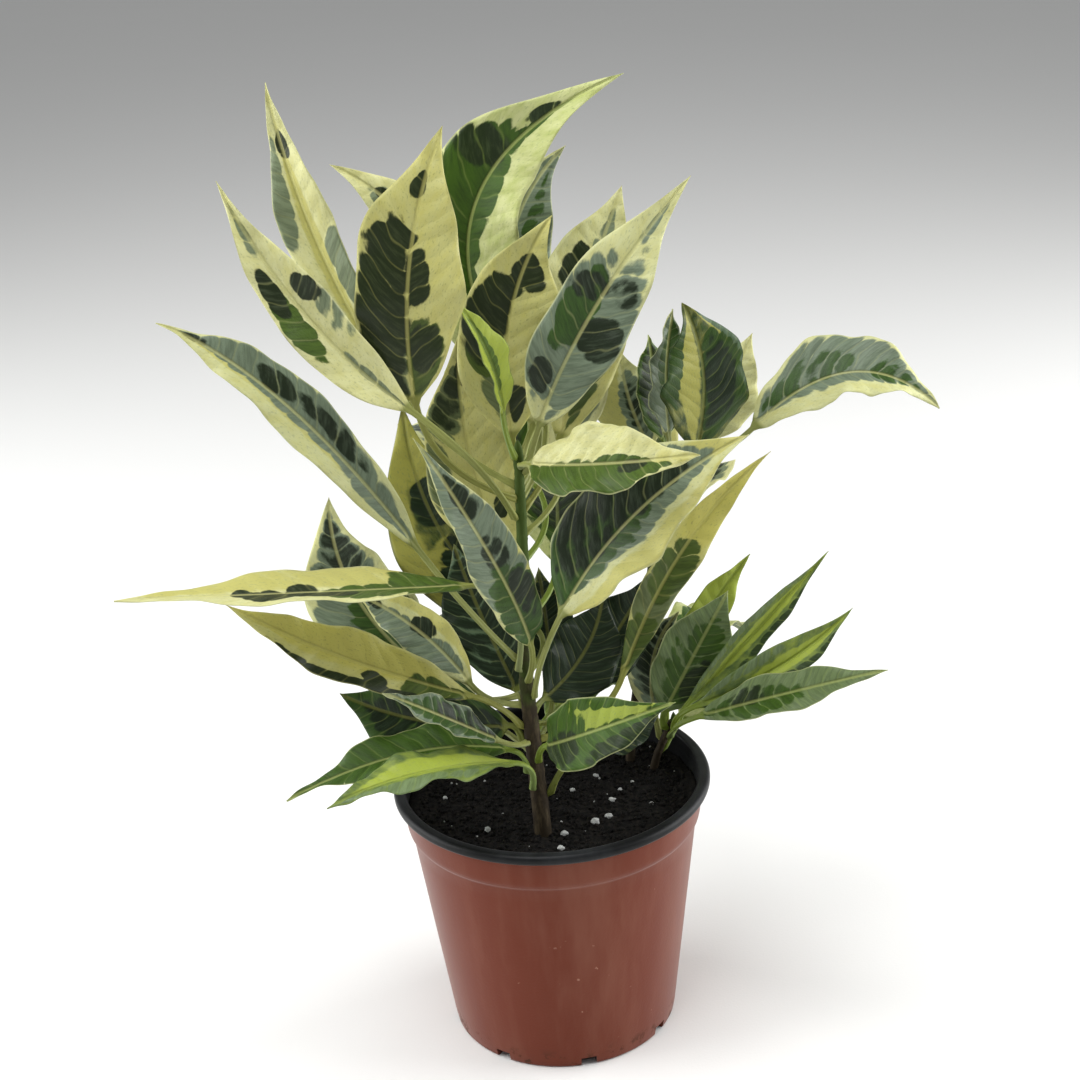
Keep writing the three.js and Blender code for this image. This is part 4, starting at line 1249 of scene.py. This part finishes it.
def soil_height(x, y, lumps):
    """Height of the soil's surface, in millimetres."""
    place = Vector((x * 0.09, y * 0.09, 3.1))
    broad = noise.noise(place)
    fine = noise.noise(place * 4.5)
    finest = noise.noise(place * 13.0)
    swell = 0.6 * math.sin(x / 9) * math.cos(y / 11)
    return SOIL_LEVEL + swell + lumps * (0.9 * broad + 0.6 * fine + 0.35 * finest)


def soil_radius(z):
    """The radius to which the mix fills the pot at a height: it is wider from the pot's collar up."""
    collar, above_collar, below_collar = 101, 1.3, -0.1
    wall = POT_FOOT_RADIUS + (POT_TOP_RADIUS - POT_FOOT_RADIUS) * z / POT_HEIGHT - POT_WALL
    return wall + (above_collar if z > collar else below_collar)


def soil_mesh(look):
    """The body of the mix, lumpy on top, filling the pot down to its floor."""
    lumps = look.lumps / MM
    sides = 180
    first_radius, steps = 0.8, 62
    edge_radius = soil_radius(SOIL_LEVEL)
    radii = [first_radius + (edge_radius - first_radius) * k / steps for k in range(steps + 1)]
    depths = (102.0, 100.0, 60.0, 20.0, 2.4)
    turns = ring_turns(sides)
    points = [(0.0, 0.0, soil_height(0, 0, lumps))]
    for radius in radii:
        for turn in turns:
            x, y = radius * math.cos(turn), radius * math.sin(turn)
            points.append((x, y, soil_height(x, y, lumps)))
    for z in depths:
        radius = soil_radius(z)
        points += [(radius * math.cos(turn), radius * math.sin(turn), z) for turn in turns]
    rings = len(radii) + len(depths)
    faces = [(0, 1 + k, 1 + (k + 1) % sides) for k in range(sides)]
    faces += [(a, d, c, b) for a, b, c, d in ring_faces(rings, sides, 1)]
    faces.append(end_face(1 + (rings - 1) * sides, sides, True))
    mesh = grid_mesh("peat_mix", np.array(points) * MM, faces)
    mesh.materials.append(peat_material(look))
    return mesh


def peat_material(look):
    """Dark moist peat with paler fibres."""
    name = "soil_peat"
    if name in bpy.data.materials:
        return bpy.data.materials[name]
    return grain_material(name, tuple(look.peat), srgb(48, 42, 36), 520.0, 0.5 * MM)


def scatter_tree(name, material):
    """Scatters rough grains over a surface: inputs for density, sizes and seed."""
    tree = bpy.data.node_groups.new(name, "GeometryNodeTree")
    sockets = tree.interface
    sockets.new_socket("Geometry", in_out="INPUT", socket_type="NodeSocketGeometry")
    for label in ("Density", "Smallest", "Largest"):
        sockets.new_socket(label, in_out="INPUT", socket_type="NodeSocketFloat")
    sockets.new_socket("Seed", in_out="INPUT", socket_type="NodeSocketInt")
    sockets.new_socket("Geometry", in_out="OUTPUT", socket_type="NodeSocketGeometry")
    given = tree.nodes.new("NodeGroupInput").outputs
    target = tree.nodes.new("NodeGroupOutput")
    spread = wire(
        tree, "GeometryNodeDistributePointsOnFaces",
        {"Mesh": given["Geometry"], "Density": given["Density"], "Seed": given["Seed"]},
    )
    ball = wire(tree, "GeometryNodeMeshIcoSphere", {"Radius": 1.0, "Subdivisions": 2})
    bumpy = wire(tree, "ShaderNodeTexNoise", {"Scale": 1.7, "Detail": 1.0})
    push = wire(
        tree, "ShaderNodeVectorMath", {0: bumpy.outputs["Color"], 1: (-0.5, -0.5, -0.5)}, operation="ADD"
    )
    rough = wire(
        tree, "GeometryNodeSetPosition", {"Geometry": ball.outputs["Mesh"], "Offset": push.outputs[0]}
    )
    size = wire(
        tree, "FunctionNodeRandomValue",
        {2: given["Smallest"], 3: given["Largest"], "Seed": given["Seed"]}, data_type="FLOAT",
    )
    full_turn = {1: (math.tau, math.tau, math.tau)}
    turn = wire(tree, "FunctionNodeRandomValue", full_turn, data_type="FLOAT_VECTOR")
    place = wire(
        tree, "GeometryNodeInstanceOnPoints",
        {
            "Points": spread.outputs["Points"], "Instance": rough.outputs["Geometry"],
            "Rotation": turn.outputs[0], "Scale": size.outputs[1],
        },
    )
    real = wire(tree, "GeometryNodeRealizeInstances", {"Geometry": place.outputs["Instances"]})
    painted = wire(
        tree, "GeometryNodeSetMaterial", {"Geometry": real.outputs["Geometry"], "Material": material}
    )
    tree.links.new(painted.outputs["Geometry"], target.inputs["Geometry"])
    return tree


def scatter(name, ground, tree, values):
    """Runs a scatter tree on a copy of the ground and keeps the plain mesh."""
    holder = bpy.data.objects.new(name + "_ground", ground)
    bpy.context.scene.collection.objects.link(holder)
    run = holder.modifiers.new("scatter", "NODES")
    run.node_group = tree
    for item in tree.interface.items_tree:
        if item.in_out == "INPUT" and item.name in values:
            run[item.identifier] = values[item.name]
    bpy.context.view_layer.update()
    mesh = bpy.data.meshes.new_from_object(holder.evaluated_get(bpy.context.evaluated_depsgraph_get()))
    bpy.data.objects.remove(holder)
    mesh.name = name
    return mesh


def soil_top(look, reach=61.0):
    """Only the soil's surface, for grains to lie on."""
    lumps = look.lumps / MM
    cells = 60
    points = []
    index = {}
    faces = []
    span = np.linspace(-reach, reach, cells)
    for i, x in enumerate(span):
        for j, y in enumerate(span):
            if math.hypot(x, y) <= reach:
                index[i, j] = len(points)
                points.append((x, y, soil_height(x, y, lumps)))
    for i in range(cells - 1):
        for j in range(cells - 1):
            ring = [(i, j), (i + 1, j), (i + 1, j + 1), (i, j + 1)]
            if all(key in index for key in ring):
                faces.append(tuple(index[key] for key in ring))
    return grid_mesh("soil_top", np.array(points) * MM, faces)


def white_lumps(look, material):
    """The larger white grains, each where the photo shows it."""
    lumps = bmesh.new()
    for seed, (x, y, size) in enumerate(PERLITE_SPOTS):
        start = len(lumps.verts)
        bmesh.ops.create_icosphere(lumps, subdivisions=3, radius=size * MM)
        lumps.verts.ensure_lookup_table()
        z = soil_height(x, y, look.lumps / MM) + size * 0.3
        for vert in lumps.verts[start:]:
            place = vert.co / MM / size
            swell = 1 + 0.45 * noise.noise(place * 1.4 + Vector((seed * 7.0, 0, 0)))
            vert.co = vert.co * swell
            vert.co.z *= 0.75
            vert.co += Vector((x, y, z)) * MM
    mesh = bpy.data.meshes.new("perlite_lumps")
    lumps.to_mesh(mesh)
    lumps.free()
    mesh.shade_smooth()
    mesh.materials.append(material)
    return mesh


# Operators


class CROTON_OT_pot(bpy.types.Operator):
    """Turns the nursery pot with its black lip and drain slots"""

    bl_idname = "croton.pot"
    bl_label = "Pot"

    def execute(self, context):
        new_piece("nursery_pot", pot_mesh(context.scene.croton_pot), "pot", "pot")
        return {"FINISHED"}


class CROTON_OT_soil(bpy.types.Operator):
    """Fills the pot with peat mix, crumbs and white grains"""

    bl_idname = "croton.soil"
    bl_label = "Potting mix"

    def execute(self, context):
        look = context.scene.croton_soil
        new_piece("peat_mix", soil_mesh(look), "soil", "potting_soil")
        peat = peat_material(look)
        white = grain_material("soil_perlite", tuple(look.perlite), srgb(214, 214, 210), 900.0, 0.2 * MM)
        grain_density = 2600.0
        ground = soil_top(look)
        crumbs = scatter(
            "peat_crumbs", ground, scatter_tree("scatter_crumbs", peat),
            {"Density": look.crumbs, "Smallest": 0.35 * MM, "Largest": 1.3 * MM, "Seed": 4},
        )
        new_piece("peat_crumbs", crumbs, "soil")
        grains = scatter(
            "perlite_grains", ground, scatter_tree("scatter_grains", white),
            {"Density": grain_density, "Smallest": 0.2 * MM, "Largest": 0.6 * MM, "Seed": 11},
        )
        new_piece("perlite_grains", grains, "soil")
        new_piece("perlite_lumps", white_lumps(look, white), "soil")
        return {"FINISHED"}


class CROTON_OT_stems(bpy.types.Operator):
    """Grows the three stems"""

    bl_idname = "croton.stems"
    bl_label = "Stems"

    def execute(self, context):
        for stem in STEMS:
            new_piece(stem + "_stem", stem_mesh(stem, context.scene.croton_stem), "stem", "stem_" + stem)
        return {"FINISHED"}


class CROTON_OT_leaves(bpy.types.Operator):
    """Grows one group of leaves with their stalks"""

    bl_idname = "croton.leaves"
    bl_label = "Leaves"

    group: bpy.props.EnumProperty(
        name="Group", description="Which leaves to grow", items=[(g, g.capitalize(), "") for g in GROUPS]
    )

    def execute(self, context):
        look = context.scene.croton_leaf
        for index, (name, leaf) in enumerate(NAMED_LEAVES.items()):
            if name.startswith(self.group):
                mesh = leaf_mesh(name, leaf, index, look)
                piece_name = name.replace("_", "_leaf_")
                new_piece(piece_name, mesh, "leaf_" + leaf.finish, "leaf_" + name)
        return {"FINISHED"}


class CROTON_OT_stage(bpy.types.Operator):
    """Sets the pale floor, the soft light and the camera"""

    bl_idname = "croton.stage"
    bl_label = "Stage"

    def execute(self, context):
        look = context.scene.croton_stage
        make_floor(look)
        make_lights(look)
        make_camera(look)
        return {"FINISHED"}


def make_floor(look):
    """A wide pale floor with a faint cloud and a fine grain."""
    mesh = bpy.data.meshes.new("pale_floor")
    reach = 6.0
    mesh.from_pydata(
        [(-reach, -reach, 0), (reach, -reach, 0), (reach, reach, 0), (-reach, reach, 0)], [], [(0, 1, 2, 3)]
    )
    floor = bpy.data.objects.new("pale_floor", mesh)
    bpy.context.scene.collection.objects.link(floor)
    material, tree, shader, bump = new_material("floor_paper", 0.05 * MM)
    place = wire(tree, "ShaderNodeTexCoord").outputs["Object"]
    cloud = speck_noise(tree, place, 2.0, 2.0)
    colour = blend(tree, calc(tree, "MULTIPLY", cloud, 0.08), tuple(look.floor), srgb(206, 206, 204))
    tree.links.new(colour, shader.inputs["Base Color"])
    tree.links.new(speck_noise(tree, place, 800.0), bump.inputs["Height"])
    shader.inputs["Roughness"].default_value = 0.85
    mesh.materials.append(material)


def area_light(name, place, target, size, power):
    """A square light that looks at a target."""
    light = bpy.data.lights.new(name, "AREA")
    light.shape = "SQUARE"
    light.size = size
    light.energy = power
    lamp = bpy.data.objects.new(name, light)
    bpy.context.scene.collection.objects.link(lamp)
    lamp.location = place
    lamp.rotation_euler = (Vector(target) - Vector(place)).to_track_quat("-Z", "Y").to_euler()


def make_lights(look):
    """Three soft square lights and an even pale sky."""
    middle = (0.0, 0.0, 0.22)
    area_light("left_light", (-1.2, 0.1, 0.5), middle, 1.2, look.left_light)
    area_light("right_light", (1.2, 0.15, 0.5), middle, 1.2, look.right_light)
    area_light("top_light", (-0.35, -0.35, 1.6), middle, 1.1, look.top_light)
    world = bpy.data.worlds.new("soft_daylight")
    world.use_nodes = True
    sky = world.node_tree.nodes["Background"]
    sky.inputs["Color"].default_value = (0.98, 0.99, 1.0, 1.0)
    sky.inputs["Strength"].default_value = 0.34
    bpy.context.scene.world = world
    bpy.context.scene.view_settings.view_transform = "Standard"


def make_camera(look):
    """The camera stands where the photo was taken: place in metres, angles in degrees."""
    place = Vector((0.0015, -0.7768, 0.5562))
    pitch, roll = math.radians(22.65), math.radians(3.61)
    right = Vector((1, 0, 0))
    ahead = Vector((0, math.cos(pitch), -math.sin(pitch)))
    down = Vector((0, -math.sin(pitch), -math.cos(pitch)))
    across = right * math.cos(roll) + down * math.sin(roll)
    below = down * math.cos(roll) - right * math.sin(roll)
    turn = Matrix((across, -below, -ahead)).transposed()
    camera = bpy.data.cameras.new("photo_camera")
    camera.sensor_width = 36
    camera.lens = look.lens
    camera.clip_start = 0.05
    holder = bpy.data.objects.new("photo_camera", camera)
    holder.matrix_world = Matrix.Translation(place) @ turn.to_4x4()
    bpy.context.scene.collection.objects.link(holder)
    bpy.context.scene.camera = holder


class CROTON_PT_panel(bpy.types.Panel):
    """Lists the steps that make the plant"""

    bl_label = "Croton"
    bl_idname = "CROTON_PT_panel"
    bl_space_type = "VIEW_3D"
    bl_region_type = "UI"
    bl_category = "Croton"

    def draw(self, context):
        for step in (CROTON_OT_pot, CROTON_OT_soil, CROTON_OT_stems):
            self.layout.operator(step.bl_idname)
        for group in GROUPS:
            label = group.capitalize() + " leaves"
            self.layout.operator(CROTON_OT_leaves.bl_idname, text=label).group = group
        self.layout.operator(CROTON_OT_stage.bl_idname)
        for look in ("croton_pot", "croton_soil", "croton_stem", "croton_leaf", "croton_stage"):
            holder = getattr(context.scene, look)
            for name in holder.bl_rna.properties.keys():
                if name not in ("rna_type", "name"):
                    self.layout.prop(holder, name)


LOOKS = {
    "croton_pot": PotLook, "croton_soil": SoilLook, "croton_stem": StemLook, "croton_leaf": LeafLook,
    "croton_stage": StageLook,
}
CLASSES = (
    *LOOKS.values(), CROTON_OT_pot, CROTON_OT_soil, CROTON_OT_stems, CROTON_OT_leaves, CROTON_OT_stage,
    CROTON_PT_panel,
)


def register():
    """Adds the classes and their settings."""
    for item in CLASSES:
        bpy.utils.register_class(item)
    for name, look in LOOKS.items():
        setattr(bpy.types.Scene, name, bpy.props.PointerProperty(type=look))


def unregister():
    """Takes the settings and the classes out again."""
    for name in LOOKS:
        delattr(bpy.types.Scene, name)
    for item in reversed(CLASSES):
        bpy.utils.unregister_class(item)


def main():
    """Registers the add-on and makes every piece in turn."""
    register()
    bpy.ops.croton.pot()
    bpy.ops.croton.soil()
    bpy.ops.croton.stems()
    for group in GROUPS:
        bpy.ops.croton.leaves(group=group)
    bpy.ops.croton.stage()


if __name__ == "__main__":
    main()
